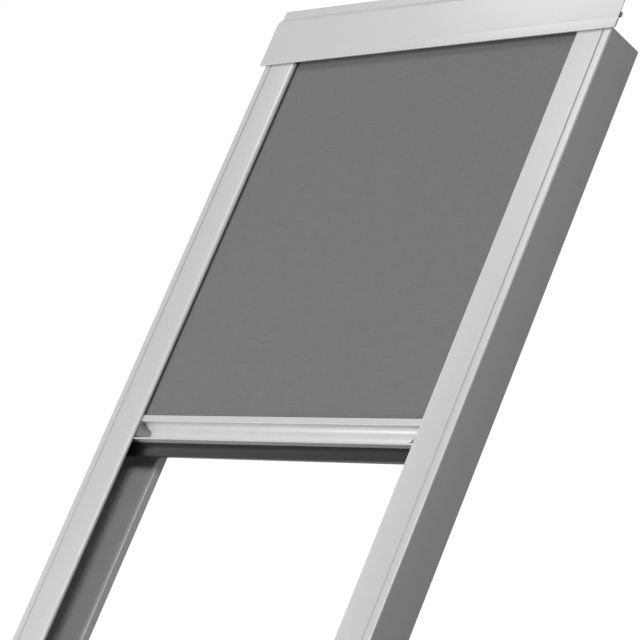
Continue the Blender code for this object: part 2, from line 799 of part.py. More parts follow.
def fabric_roll(material, parts):
    """The wound fabric: its outer layer runs in by one step over a turn."""
    outline = []
    for i in range(ROLL_SIDES + 1):
        share = i / ROLL_SIDES
        angle = math.radians(90 - 359 * share)
        radius = ROLL_RADIUS - ROLL_PITCH * share
        outline.append((radius * math.cos(angle), radius * math.sin(angle)))
    bore = ring((0, 0), TUBE_RADIUS + GAP, 32)
    frame = Matrix.Translation((0, ROLLER_Y, ROLLER_Z)) @ ACROSS
    mesh = mesh_of_outlines("fabric_roll", [outline, bore], 2 * FABRIC_HALF)
    place("fabric_roll", mesh, material, parts, frame)


def fabric_panel(material, parts):
    """The stretched fabric from the roll down to the bar's slot."""
    low = BAR_TOP - SLOT_CENTRE + SPLINE_RADIUS + GAP
    high = ROLLER_Y - 2 * GAP
    outline = rectangle(
        (low, FABRIC_Z - FABRIC_THICKNESS / 2), (high, FABRIC_Z + FABRIC_THICKNESS / 2)
    )
    across_blind("fabric_panel", [outline], -FABRIC_HALF, FABRIC_HALF, material, parts)


def bar_point(v, depth):
    """A point of the bar's drawing, v below its top edge and depth behind its front, as (y, z)."""
    return (BAR_TOP - v, BAR_FRONT - depth)


def grip_curve(steps=14):
    """The hollow grip: a flattened half ellipse of a power a little over two."""
    middle, half = (GRIP_START + GRIP_END) / 2, (GRIP_END - GRIP_START) / 2
    points = []
    for i in range(steps + 1):
        angle = math.pi * i / steps
        across, inwards = -math.cos(angle), math.sin(angle)
        across = math.copysign(abs(across) ** (2 / GRIP_POWER), across)
        points.append((middle + half * across, GRIP_DEPTH * inwards ** (2 / GRIP_POWER)))
    return points


def bottom_bar(material, parts):
    """The bar's section: fabric slot, hollow grip, seal slot and a back chamber."""
    slot_depth = FABRIC_DROP - BAR_FRONT_DROP
    mouth = SLOT_MOUTH / 2
    half_angle = math.degrees(math.asin(mouth / SLOT_RADIUS))
    slot = [
        (SLOT_CENTRE - math.cos(math.radians(a)) * SLOT_RADIUS,
         slot_depth + math.sin(math.radians(a)) * SLOT_RADIUS)
        for a in [half_angle + (360 - 2 * half_angle) * i / 14 for i in range(15)]
    ]
    neck_front = SEAL_FRONT + (SEAL_THICKNESS - SEAL_NECK) / 2 - GAP
    neck_back = neck_front + SEAL_NECK + 2 * GAP
    root_front = neck_front - (SEAL_ROOT - SEAL_NECK) / 2
    root_back = neck_back + (SEAL_ROOT - SEAL_NECK) / 2
    neck_top = BAR_HEIGHT - SEAL_NECK_HEIGHT
    root_top = neck_top - SEAL_ROOT_HEIGHT - 2 * GAP
    outline = [bar_point(0, BAR_BACK_ROUND / 4), bar_point(0, slot_depth - mouth)]
    outline += [bar_point(v, d) for v, d in reversed(slot)]
    outline += [bar_point(0, slot_depth + mouth)]
    for centre_v, first, last in ((BAR_BACK_ROUND, 180, 90), (BAR_HEIGHT - BAR_BACK_ROUND, 90, 0)):
        corner = arc((centre_v, BAR_DEPTH - BAR_BACK_ROUND), BAR_BACK_ROUND, first, last, 3)
        outline += [bar_point(v, d) for v, d in corner]
    outline += [
        bar_point(BAR_HEIGHT, neck_back),
        bar_point(neck_top, neck_back),
        bar_point(neck_top, root_back),
        bar_point(root_top, root_back),
        bar_point(root_top, root_front),
        bar_point(neck_top, root_front),
        bar_point(neck_top, neck_front),
        bar_point(BAR_HEIGHT, neck_front),
        bar_point(BAR_HEIGHT, BAR_BACK_ROUND / 4),
        bar_point(BAR_HEIGHT - BAR_BACK_ROUND / 4, 0),
    ]
    outline += [bar_point(v, d) for v, d in reversed(grip_curve())]
    outline += [bar_point(BAR_BACK_ROUND / 4, 0)]
    hollows = [bar_chamber()] + upper_chambers(slot_depth)
    holes = [[bar_point(*corner) for corner in rectangle(*hollow)] for hollow in hollows]
    holes.append(ring(bar_port(), SCREW_RADIUS + GAP, 16))
    across_blind("bottom_bar", [outline] + holes, -BAR_HALF, BAR_HALF, material, parts)


def upper_chambers(slot_depth):
    """The small hollows on either side of the screw port, as (v, depth) corners."""
    port_half = SCREW_RADIUS + GAP + BAR_PORT_WALL
    high, low = BAR_WALL, GRIP_START - BAR_WALL
    front = slot_depth + SLOT_RADIUS + BAR_WALL
    return [
        ((high, front), (low, BAR_PORT_DEPTH - port_half)),
        ((high, BAR_PORT_DEPTH + port_half), (low, BAR_DEPTH - BAR_WALL)),
    ]


def bar_port():
    """The hole that takes an end cap's screw, as (y, z)."""
    return bar_point(BAR_PORT_DOWN, BAR_PORT_DEPTH)


def bar_chamber():
    """Two corners of the hollow behind the grip, as (v, depth)."""
    return (
        (GRIP_START + BAR_WALL, GRIP_DEPTH + BAR_WALL),
        (GRIP_END, BAR_DEPTH - BAR_WALL),
    )


def bar_end_cap(label, side, material, parts, cutters):
    """A plate over the bar's end, with a window for the glide's stub."""
    first = BAR_HALF + GAP
    last = first + BAR_CAP_PLATE
    inset = BAR_CAP_INSET
    corners = rectangle((inset, inset), (BAR_HEIGHT - inset, BAR_DEPTH - inset))
    outline = [bar_point(*corner) for corner in corners]
    span = sorted((side * first, side * last))
    cap = across_blind(f"{label}_bar_end_cap", [outline], *span, material, parts)
    (v0, d0), (v1, d1) = bar_chamber()
    window = [bar_point(*corner) for corner in rectangle((v0, d0), (v1, d1))]
    long_span = sorted((side * (first - CUT_PAST), side * (last + CUT_PAST)))
    cutter = across_blind(f"{label}_cap_window", [window], *long_span, material, cutters)
    boolean(cap, cutter, "DIFFERENCE", cutters)
    hole = cylinder(
        f"{label}_bar_cap_hole",
        SCREW_RADIUS + GAP,
        4 * BAR_CAP_PLATE,
        (side * (first + BAR_CAP_PLATE / 2), *bar_port()),
        "X",
        cutters,
        sides=16,
    )
    boolean(cap, hole, "DIFFERENCE", cutters)
    boolean(cap, grip_stop(label, side, material, cutters), "UNION", cutters)


def grip_stop(label, side, material, cutters):
    """The cap's block in the grip's end: its face sweeps out over the grip's floor lower down."""
    outer = BAR_HALF + GAP + BAR_CAP_PLATE / 2
    face = BAR_HALF - GRIP_STOP_FACE
    middle, half = (GRIP_START + GRIP_END) / 2, (GRIP_END - GRIP_START) / 2
    mesh = bmesh.new()
    rows = []
    for v, depth in grip_curve()[1:-1]:
        v = middle + (v - middle) * (half - GAP) / half
        flare = (v - GRIP_STOP_FLARE_START) / (GRIP_STOP_FLARE_END - GRIP_STOP_FLARE_START)
        reach = GRIP_STOP_REACH * math.sin(math.pi / 2 * min(max(flare, 0), 1))
        corners = [
            (outer, GRIP_STOP_INSET),
            (face, GRIP_STOP_INSET),
            (face - reach, depth - GAP),
            (outer, depth - GAP),
        ]
        rows.append([mesh.verts.new((side * x, *bar_point(v, d))) for x, d in corners])
    for first, second in zip(rows, rows[1:]):
        for i in range(4):
            mesh.faces.new((first[i], first[i - 1], second[i - 1], second[i]))
    mesh.faces.new(rows[0])
    mesh.faces.new(reversed(rows[-1]))
    bmesh.ops.triangulate(mesh, faces=mesh.faces)
    bmesh.ops.recalc_face_normals(mesh, faces=mesh.faces)
    data = bpy.data.meshes.new(f"{label}_grip_stop")
    mesh.to_mesh(data)
    mesh.free()
    return place(f"{label}_grip_stop", data, material, cutters, Matrix.Identity(4))


def glide(label, side, material, parts, cutters):
    """The plastic shoe that runs in the rail's track, its stub inside the bar."""
    cap_end = BAR_HALF + GAP + BAR_CAP_PLATE
    first = cap_end + GAP
    last = first + GLIDE_REACH
    middle = BAR_TOP - GLIDE_MIDDLE
    low, high = TRACK_BACK_Z + RUNNING_GAP, TRACK_FRONT_Z - RUNNING_GAP
    outline = rectangle((middle - GLIDE_LENGTH / 2, low), (middle + GLIDE_LENGTH / 2, high))
    span = sorted((side * first, side * last))
    shoe = across_blind(f"{label}_glide", [outline], *span, material, parts)
    (v0, d0), (v1, d1) = bar_chamber()
    stub_low, stub_high = (v0 + GAP, d0 + GAP), (v1 - GAP, d1 - GAP)
    stub_outline = [bar_point(*corner) for corner in rectangle(stub_low, stub_high)]
    stub_span = sorted((side * (BAR_HALF - GLIDE_STUB), side * (first + GLIDE_STUB_OVERLAP)))
    stub = across_blind(f"{label}_stub", [stub_outline], *stub_span, material, cutters)
    boolean(shoe, stub, "UNION", cutters)
    pocket_outline = rectangle(
        (middle - BRAKE_LENGTH / 2 - 2 * GAP, high - BRAKE_POCKET),
        (middle + BRAKE_LENGTH / 2 + 2 * GAP, high + CUT_PAST),
    )
    centre = side * (last - GLIDE_REACH / 3)
    half = BRAKE_WIDTH / 2 + GAP
    pocket = across_blind(
        f"{label}_pocket", [pocket_outline], centre - half, centre + half, material, cutters
    )
    boolean(shoe, pocket, "DIFFERENCE", cutters)
    return centre, middle, high


def brake_spring(label, centre, middle, high, material, parts):
    """A bowed steel strip in the glide's pocket that presses on the track."""
    half, steps = BRAKE_LENGTH / 2, 12
    base = high - BRAKE_POCKET + GAP
    rise = BRAKE_POCKET - GAP - BRAKE_STRIP - GAP / 2
    along = [-half + BRAKE_LENGTH * i / steps for i in range(steps + 1)]
    bow = [base + rise * math.cos(math.pi * a / BRAKE_LENGTH) for a in along]
    under = [(middle + a, z) for a, z in zip(along, bow)]
    over = [(y, z + BRAKE_STRIP) for y, z in under]
    outline = under + over[::-1]
    first, last = centre - BRAKE_WIDTH / 2, centre + BRAKE_WIDTH / 2
    across_blind(f"{label}_brake_spring", [outline], first, last, material, parts)


def bottom_seal(material, parts):
    """The black weather seal: a bulged blade that hangs from a T-shaped root."""
    top = BAR_TOP - BAR_HEIGHT - GAP
    bottom = BAR_TOP - BAR_HEIGHT - SEAL_HEIGHT
    front = SEAL_FRONT_Z
    back = front - SEAL_THICKNESS
    steps = 8
    bulge = []
    for i in range(steps + 1):
        share = i / steps
        bulge.append((top + (bottom - top) * share, front + SEAL_BULGE * math.sin(math.pi * share)))
    neck_front = front - (SEAL_THICKNESS - SEAL_NECK) / 2
    neck_back = neck_front - SEAL_NECK
    root_front = neck_front + (SEAL_ROOT - SEAL_NECK) / 2 - GAP
    root_back = neck_back - (SEAL_ROOT - SEAL_NECK) / 2 + GAP
    root_low = top + SEAL_NECK_HEIGHT + 2 * GAP
    root_high = root_low + SEAL_ROOT_HEIGHT - GAP
    outline = bulge + [
        (bottom, back + SEAL_BACK_CORNER),
        (bottom + SEAL_BACK_CORNER, back),
        (top, back),
        (top, neck_back),
        (root_low, neck_back),
        (root_low, root_back),
        (root_high, root_back),
        (root_high, root_front),
        (root_low, root_front),
        (root_low, neck_front),
        (top, neck_front),
    ]
    half = BAR_HALF - GAP
    across_blind("bottom_seal", [outline], -half, half, material, parts)


def fabric_spline(material, parts):
    """The rod that holds the fabric's hem in the bar's slot."""
    y, z = bar_point(SLOT_CENTRE, FABRIC_DROP - BAR_FRONT_DROP)
    length = 2 * (BAR_HALF - GAP)
    cylinder("fabric_spline", SPLINE_RADIUS, length, (0, y, z), "X", parts, material, 16)


def build():
    clear_scene()
    parts = new_collection("roof_window_blind")
    cutters = new_collection("cutters")
    aluminium = new_material("satin_aluminium", (0.62, 0.62, 0.61), 0.38, 1.0)
    mill = new_material("mill_aluminium", (0.50, 0.50, 0.50), 0.45, 1.0)
    steel = new_material("zinc_steel", (0.55, 0.55, 0.54), 0.35, 1.0)
    plastic = new_material("grey_plastic", (0.18, 0.18, 0.185), 0.55)
    bearing = new_material("bearing_plastic", (0.72, 0.71, 0.68), 0.45)
    rubber = new_material("black_rubber", (0.012, 0.012, 0.012), 0.70)
    cloth = new_material("screen_fabric", (0.19, 0.19, 0.19), 0.90)

    head_cover(aluminium, parts)
    head_carcass(mill, parts)
    for label, side in SIDES.items():
        side_rail(label, side, aluminium, parts, cutters)
        rail_end_cap(label, side, plastic, parts, cutters)
        stop_buffer(label, side, rubber, parts)
        edge_seal(label, side, rubber, parts)
        head_bracket(label, side, mill, parts, cutters)
        foot_top = RAIL_BACK_DEPTH + GAP + TONGUE_THICKNESS
        for number, (x, y) in enumerate(tongue_screws(side), 1):
            name = f"{label}_bracket_screw_{number}"
            pan_head_screw(name, (x, y, foot_top + GAP), (0, 0, -1), steel, parts)
        u, z = port_centre()
        under_head = -BLIND_LENGTH / 2 + SCREW_HEAD_HEIGHT
        base = (side * (HALF_WIDTH - u), under_head, z)
        pan_head_screw(f"{label}_end_cap_screw", base, (0, 1, 0), steel, parts)
        bar_end_cap(label, side, plastic, parts, cutters)
        base = (side * (BAR_HALF + 2 * GAP + BAR_CAP_PLATE), *bar_port())
        pan_head_screw(f"{label}_bar_screw", base, (-side, 0, 0), steel, parts)
        centre, middle, high = glide(label, side, bearing, parts, cutters)
        brake_spring(label, centre, middle, high, steel, parts)

    roller_tube(mill, parts)
    end_plugs(plastic, parts)
    bearing_bush(bearing, parts)
    shaft_start = spring_shaft(steel, parts)
    support_bush(shaft_start, bearing, parts)
    anchor_end = spring_anchor(shaft_start, steel, parts)
    counterbalance_spring(anchor_end, steel, parts)
    fabric_roll(cloth, parts)
    fabric_panel(cloth, parts)
    bottom_bar(aluminium, parts)
    bottom_seal(rubber, parts)
    fabric_spline(plastic, parts)


build()
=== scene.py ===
# %% [markdown]
# # Outside roller blind for a sloping roof window
#
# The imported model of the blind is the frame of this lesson: it says where every piece sits and how
# it moves.  The lesson dresses it.  Each long aluminium piece gets its true section with rounded
# corners, the fabric gets its weave, and every screw, cap and spring gets its finish.  The blind
# lies on its back: +Z is the weather side, +Y runs up the roof slope and X runs across.

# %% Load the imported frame
import math

import bmesh
import bpy
import numpy as np
from mathutils import Matrix, Vector
from mathutils.geometry import tessellate_polygon


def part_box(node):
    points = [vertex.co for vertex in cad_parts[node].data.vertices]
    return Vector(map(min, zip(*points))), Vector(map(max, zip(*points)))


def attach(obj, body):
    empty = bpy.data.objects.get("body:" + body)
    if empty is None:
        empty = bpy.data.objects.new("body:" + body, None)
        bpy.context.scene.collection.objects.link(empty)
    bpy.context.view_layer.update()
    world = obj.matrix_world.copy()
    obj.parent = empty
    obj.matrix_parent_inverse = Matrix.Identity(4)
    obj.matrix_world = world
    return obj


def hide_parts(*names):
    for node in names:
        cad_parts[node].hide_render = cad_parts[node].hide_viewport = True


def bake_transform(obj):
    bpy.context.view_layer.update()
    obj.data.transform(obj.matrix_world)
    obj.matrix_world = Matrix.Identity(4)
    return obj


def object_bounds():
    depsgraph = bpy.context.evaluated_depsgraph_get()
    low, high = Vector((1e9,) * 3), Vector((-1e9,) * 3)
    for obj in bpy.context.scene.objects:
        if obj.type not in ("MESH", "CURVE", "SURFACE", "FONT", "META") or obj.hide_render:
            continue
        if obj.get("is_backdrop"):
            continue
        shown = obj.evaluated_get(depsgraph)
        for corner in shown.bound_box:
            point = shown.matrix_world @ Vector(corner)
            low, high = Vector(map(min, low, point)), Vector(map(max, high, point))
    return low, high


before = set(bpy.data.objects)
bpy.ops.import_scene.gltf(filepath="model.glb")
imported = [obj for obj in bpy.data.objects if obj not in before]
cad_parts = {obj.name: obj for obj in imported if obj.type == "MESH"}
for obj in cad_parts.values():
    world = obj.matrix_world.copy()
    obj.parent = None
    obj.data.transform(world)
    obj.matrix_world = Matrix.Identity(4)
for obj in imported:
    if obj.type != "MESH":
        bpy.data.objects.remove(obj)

MM = 0.001
solids_box = [list(corner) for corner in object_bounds()]

# %% [markdown]
# ## Places taken from the solids
#
# All sizes that other pieces depend on are read from the boxes of the solids, so a new pack with
# another width or length moves the dressed pieces along with it.  The small sizes of a section,
# such as a wall or a groove, are given again in millimetres where that section is drawn.

# %% Read the main places
rail_low, rail_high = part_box("left_side_rail")
cover_low, cover_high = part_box("head_cover")
bar_low, bar_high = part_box("bottom_bar")
roll_low, roll_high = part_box("fabric_roll")
panel_low, panel_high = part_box("fabric_panel")
tube_low, tube_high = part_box("roller_tube")

HALF_WIDTH = -rail_low.x
FACE_Z = rail_high.z
COVER_BOTTOM = cover_low.y
COVER_FACE_Z = cover_high.z
BAR_TOP = bar_high.y
BAR_FRONT_Z = bar_high.z
FABRIC_Z = (panel_low.z + panel_high.z) / 2
ROLLER_Y = (roll_low.y + roll_high.y) / 2
ROLLER_Z = (tube_low.z + tube_high.z) / 2
print(f"width {2 * HALF_WIDTH:.3f} m, cover from {COVER_BOTTOM:.4f}, bar top at {BAR_TOP:.4f}")

# %% [markdown]
# ## The camera
#
# The photo looks down on the blind from its lower right with a long lens, so the rails run nearly
# parallel.  A camera can be moved by eye until it fits, but here its place was worked out from the
# straight edges of the rails, the cover and the bar.  It is given from the corner where the left
# rail's outer side meets the cover's bottom edge, because that corner keeps its meaning when the
# blind gets another length.

# %% Place the camera
CAMERA_FROM_CORNER = Vector((3.83680, -2.18560, 2.75967))
CAMERA_RIGHT = Vector((0.68515, 0.36135, -0.63246))
CAMERA_UP = Vector((0.01381, 0.86167, 0.50728))
FOCAL_PIXELS, IMAGE_PIXELS, SENSOR_MM = 3056.0, 640.0, 36.0


def in_scene(name, data):
    """An object for some data, linked to the scene."""
    made = bpy.data.objects.new(name, data)
    bpy.context.scene.collection.objects.link(made)
    return made


camera_data = bpy.data.cameras.new("Camera")
camera_data.sensor_width = SENSOR_MM
camera_data.lens = FOCAL_PIXELS / IMAGE_PIXELS * SENSOR_MM
camera_data.clip_end = 100.0
camera = in_scene("Camera", camera_data)
corner = Vector((-HALF_WIDTH, COVER_BOTTOM, FACE_Z))
backwards = CAMERA_RIGHT.cross(CAMERA_UP)
turn = Matrix((CAMERA_RIGHT, CAMERA_UP, backwards)).transposed().to_4x4()
camera.matrix_world = Matrix.Translation(corner + CAMERA_FROM_CORNER) @ turn
bpy.context.scene.camera = camera
print(f"lens {camera_data.lens:.1f} mm at {tuple(round(v, 3) for v in camera.location)}")

# %% [markdown]
# ## Sections with rounded corners
#
# Extruded aluminium has no sharp corner: the die rounds each one by a few tenths of a millimetre,
# and those rounds catch the light as thin bright lines.  A bevel modifier could round a finished
# mesh, but at thin walls it clamps and leaves creases.  So the rounds go into the section itself,
# before it is pushed into a length: each corner is replaced by a short arc.

# %% Round the corners of an outline
def unit(vectors):
    """Each vector divided by its length."""
    return vectors / np.linalg.norm(vectors, axis=-1, keepdims=True)


def turning(first, second):
    """x1 * y2 - y1 * x2, positive where the second vector lies to the left of the first."""
    return first[:, 0] * second[:, 1] - first[:, 1] * second[:, 0]


def rounded(corners, radii=None, steps=5):
    """A closed outline with round corners, and a mark on its outward rounds.

    Without radii, each row is a corner's two places and its radius.  At each corner the arc
    touches both sides at radius / tan(half the corner's angle), its centre lies on the bisector
    at radius / sin(half that angle), and its points turn evenly from the first touching point to
    the last.  A corner with radius 0 stays one point.
    """
    corners = np.asarray(corners, float)
    if radii is None:
        corners, radii = corners[:, :2], corners[:, 2]
    radii = np.broadcast_to(radii, len(corners))
    if turning(corners, np.roll(corners, -1, axis=0)).sum() < 0:
        corners, radii = corners[::-1], radii[::-1]
    back = unit(np.roll(corners, 1, axis=0) - corners)
    ahead = unit(np.roll(corners, -1, axis=0) - corners)
    outward = turning(ahead, back) > 0
    with np.errstate(divide="ignore", invalid="ignore"):
        half = np.arccos(np.clip((back * ahead).sum(axis=1), -1, 1)) / 2
        centre = corners + unit(back + ahead) * (radii / np.sin(half))[:, None]
        reach = (radii / np.tan(half))[:, None]
        first = corners + back * reach - centre
        last = corners + ahead * reach - centre
        sweep = (np.pi - 2 * half)[:, None, None]
        share = np.linspace(0, 1, steps + 1)[None, :, None]
        arcs = np.sin((1 - share) * sweep) * first[:, None] + np.sin(share * sweep) * last[:, None]
        points = centre[:, None] + arcs / np.sin(sweep)
    sharp = radii == 0
    points[sharp, 0] = corners[sharp]
    keep = np.ones(points.shape[:2], bool)
    keep[sharp, 1:] = False
    mark = np.repeat((outward & ~sharp)[:, None], steps + 1, axis=1).astype(float)
    mark[:, [0, -1]] = 0.0
    return points[keep], mark[keep]

# %% Outline a box and a ring
def box_outline(low, high, radius):
    """A rectangle between two corners, rounded by one radius."""
    return rounded([low, (high[0], low[1]), high, (low[0], high[1])], radius, steps=3)


def ring(centre, radius, sides):
    """A circle: centre + radius * (cos, sin) of evenly spaced angles."""
    angle = np.linspace(0, 2 * np.pi, sides, endpoint=False)
    points = np.asarray(centre) + radius * np.stack([np.cos(angle), np.sin(angle)], axis=1)
    return points, np.zeros(sides)


test_outline, test_mark = box_outline((0, 0), (4, 2), 0.5)
print(f"a rounded rectangle has {len(test_outline)} points, {int(test_mark.sum())} on its rounds")

# %% [markdown]
# ## From points to a mesh
#
# Every new piece is a grid of points: rows along the piece and columns round it.  The faces of a
# grid need no search, because the four corners of each face follow from its row and column.  A
# mesh keeps two more things here.  Its map holds each point's way along and across the surface in
# metres, so a weave or a brushed line keeps its real scale.  Its mark goes above 0 where a finish
# is painted lighter, for wear and as a painted highlight on the outward rounds, and as painted
# light on the grip's floor, and below 0 where it is painted darker, as painted shade.

# %% Build meshes from grids of points
def quads(grid):
    """The four corners of each cell of a grid, in turn."""
    return np.stack([grid[:-1, :-1], grid[:-1, 1:], grid[1:, 1:], grid[1:, :-1]], axis=2)


def grid_faces(rows, columns, close_rows=0, close_columns=0):
    """The faces of a grid of points, as the numbers of their corners; 1 closes a direction."""
    index = np.arange(rows * columns).reshape(rows, columns)
    closed = np.pad(index, ((0, close_rows), (0, close_columns)), mode="wrap")
    return quads(closed).reshape(-1, 4)

# %% Make a mesh and its object
def new_piece(name, points, faces, surface_map, mark=None, smooth_angle=32.0):
    """A mesh object with its map and its mark for wear, painted light and painted shade, its faces
    turned outwards.

    Faces point outwards when the volume they enclose, a sixth of the sum of each triangle's
    a . (b x c), comes out positive.
    """
    points = points.reshape(-1, 3)
    sizes = np.concatenate([np.full(len(part), part.shape[1]) for part in faces])
    mesh = bpy.data.meshes.new(name)
    mesh.vertices.add(len(points))
    mesh.vertices.foreach_set("co", points.ravel())
    mesh.loops.add(int(sizes.sum()))
    mesh.loops.foreach_set("vertex_index", np.concatenate([part.ravel() for part in faces]))
    mesh.polygons.add(len(sizes))
    mesh.polygons.foreach_set("loop_start", np.cumsum(sizes) - sizes)
    mesh.update(calc_edges=True)
    layer = mesh.uv_layers.new(name="Surface")
    layer.data.foreach_set("uv", np.concatenate([part.ravel() for part in surface_map]))
    values = np.zeros(len(points)) if mark is None else np.ravel(mark)
    # This mark paints wear, and also painted light above 0 and painted shade below 0, into the
    # finishes.
    mesh.attributes.new("worn", "FLOAT", "POINT").data.foreach_set("value", values)
    volume = 0.0
    for part in faces:
        for last in range(2, part.shape[1]):
            a, b, c = (points[part[:, number]] for number in (0, last - 1, last))
            volume += (a * np.cross(b, c)).sum() / 6
    if volume < 0:
        mesh.flip_normals()
    mesh.polygons.foreach_set("use_smooth", np.ones(len(sizes), bool))
    mesh.set_sharp_from_angle(angle=math.radians(smooth_angle))
    mesh.validate()
    return in_scene(name, mesh)

# %% Let a piece stand for its node
pieces = {}


def stands_for(piece, node):
    """Lets a piece stand for its node, and prints its faces and its edges without two faces."""
    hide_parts(node)
    edge_of_loop = np.empty(len(piece.data.loops), np.int32)
    piece.data.loops.foreach_get("edge_index", edge_of_loop)
    uses = np.bincount(edge_of_loop, minlength=len(piece.data.edges))
    print(f"{piece.name}: {len(piece.data.polygons)} faces, {(uses != 2).sum()} open edges")
    pieces[piece.name] = piece
    return piece

# %% [markdown]
# ## A section pushed into a length
#
# Rails, bar, cover and seals are all one section that runs straight.  Blender could extrude a
# curve, but then the cut ends stay knife sharp.  Here the section is carried past a few stations.
# At the last stations it shrinks a little along a quarter circle, as a deburred saw cut does, and
# a flat cap with the section's hollows closes each end.

# %% Shrink an outline and close its end
def outward_normals(outline):
    """At each point, the outward direction whose step of 1 moves both sides out by 1."""
    side = unit(np.roll(outline, -1, axis=0) - outline)
    normal = np.stack([side[:, 1], -side[:, 0]], axis=1)
    both = normal + np.roll(normal, 1, axis=0)
    return both / np.maximum((both * both).sum(axis=1, keepdims=True) / 2, 0.5)


def cap_triangles(outlines):
    """The triangles of a flat end with holes, turned the same way."""
    loops = [[Vector((a, b, 0)) for a, b in outline] for outline in outlines]
    triangles = np.array(tessellate_polygon(loops))
    a, b, c = np.concatenate(outlines)[triangles.T]
    area = turning(b - a, c - a)
    triangles[area < 0] = triangles[area < 0][:, ::-1]
    return triangles[np.abs(area) > 1e-16]

# %% Push a section into a length
EASE_STEPS = 3


def pushed(name, node, outlines, placed, axis=0, ease=0.25 * MM, smooth_angle=32.0):
    """A section pushed along an axis from one end of its node to the other.

    Point (station, j) is the section's point j less its outward normal times the station's
    shrink, and it is put into space by placed(a, b, distance).  Near an end the shrink is
    ease * (1 - cos t) and the distance is end - ease * (1 - sin t), for t from 90 degrees to 0.
    """
    start, end = (corner[axis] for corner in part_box(node))
    turn = np.linspace(0, np.pi / 2, EASE_STEPS + 1)
    shrink, inset = ease * (1 - np.sin(turn)), ease * (1 - np.cos(turn))
    stations = np.concatenate([start + inset, (end - inset)[::-1]])
    shrinks = np.concatenate([shrink, shrink[::-1]])
    eased = (shrinks > ease / 4)[:, None]
    rows, first = len(stations), 0
    points, faces, maps, marks, flat_ends, tips = [], [], [], [], [], []
    for number, (outline, mark) in enumerate(outlines):
        if number > 0:
            outline, mark = outline[::-1], mark[::-1]
        columns, normals = len(outline), outward_normals(outline)
        flat = outline - normals * shrinks[:, None, None]
        along = np.broadcast_to(stations[:, None], (rows, columns))
        points.append(placed(flat[..., 0], flat[..., 1], along).reshape(-1, 3))
        faces.append(grid_faces(rows, columns, close_columns=1) + first)
        steps = np.linalg.norm(np.roll(outline, -1, axis=0) - outline, axis=1)
        way = np.concatenate([[0], np.cumsum(steps)])
        maps.append(quads(np.stack(np.meshgrid(way, stations), axis=-1)))
        marks.append(np.where(eased, 1.0, mark).ravel())
        flat_ends.append(outline - normals * ease)
        tips.append(np.arange(columns) + first + np.array([[0], [(rows - 1) * columns]]))
        first += rows * columns
    triangles = cap_triangles(flat_ends)
    for tip, order in zip(np.concatenate(tips, axis=1), (triangles[:, ::-1], triangles)):
        faces.append(tip[order])
        maps.append(np.concatenate(flat_ends)[order])
    points, marks = np.concatenate(points), np.concatenate(marks)
    return stands_for(new_piece(name, points, faces, maps, marks, smooth_angle), node)

# %% [markdown]
# ## The side rails
#
# Each rail is a deep hollow extrusion.  Its face is flat with a narrow groove, its inner lip is a
# large round that comes down to the fabric, and behind the lip two ribs make the track for the
# bar's glide.  The wide flat box at the back stands on the window frame.  The section is drawn once
# for the left rail, with u from its outer side inwards, and the right rail is its mirror.  The
# drawing could be read from the solid, but drawing it again lets every small corner have its round.
# The groove and the outer side get a mark below 0, which paints them darker: painted shade.

# %% Give the rail's sizes
RAIL_WALL = 1.8 * MM
RAIL_FACE = 73.2 * MM
RAIL_BACK_WIDTH = 93.8 * MM
RAIL_BACK_DEPTH = 13.5 * MM
LIP_ROUND = 5.9 * MM
OUTER_ROUND, FOOT_ROUND = 3.0 * MM, 1.0 * MM
LIP_DROP = 6.6 * MM
GROOVE = (13.9 * MM, 18.1 * MM)
GROOVE_DEPTH = 1.60 * MM
SHARP_STEP = 0.01 * MM
# How far the outer side's mark goes below 0: painted shade on the rail's outer side.
PAINTED_SIDE_SHADE = 0.5
SCREW_PORT = (42.0 * MM, 49.0 * MM)
PORT_BORE, PORT_SIDES = 2.3 * MM, 20
TRACK_Z = (FACE_Z - 28.5 * MM, FACE_Z - 13.5 * MM)
TRACK_RIB = 1.5 * MM
TRACK_REACH = 26.0 * MM
SEAL_HOLDER = 61.0 * MM
SEAL_HOLDER_DROP = 4.5 * MM
SHARP, TINY, FINE, SMALL, PLAIN, SOFT = (radius * MM for radius in (0.0, 0.2, 0.3, 0.4, 0.5, 0.6))

# %% Draw the rail's section
def dent(start, end, level, depth, steps=8):
    """A soft dent in a level line: depth * sin^2 of the way across it.

    It starts 5 percent in, so that its ends and the line's ends are never exactly in one line.
    """
    way = np.linspace(0.05, 0.95, steps + 1)
    along = start + (end - start) * way
    return [(a, b, SHARP) for a, b in zip(along, level - depth * np.sin(np.pi * way) ** 2)]


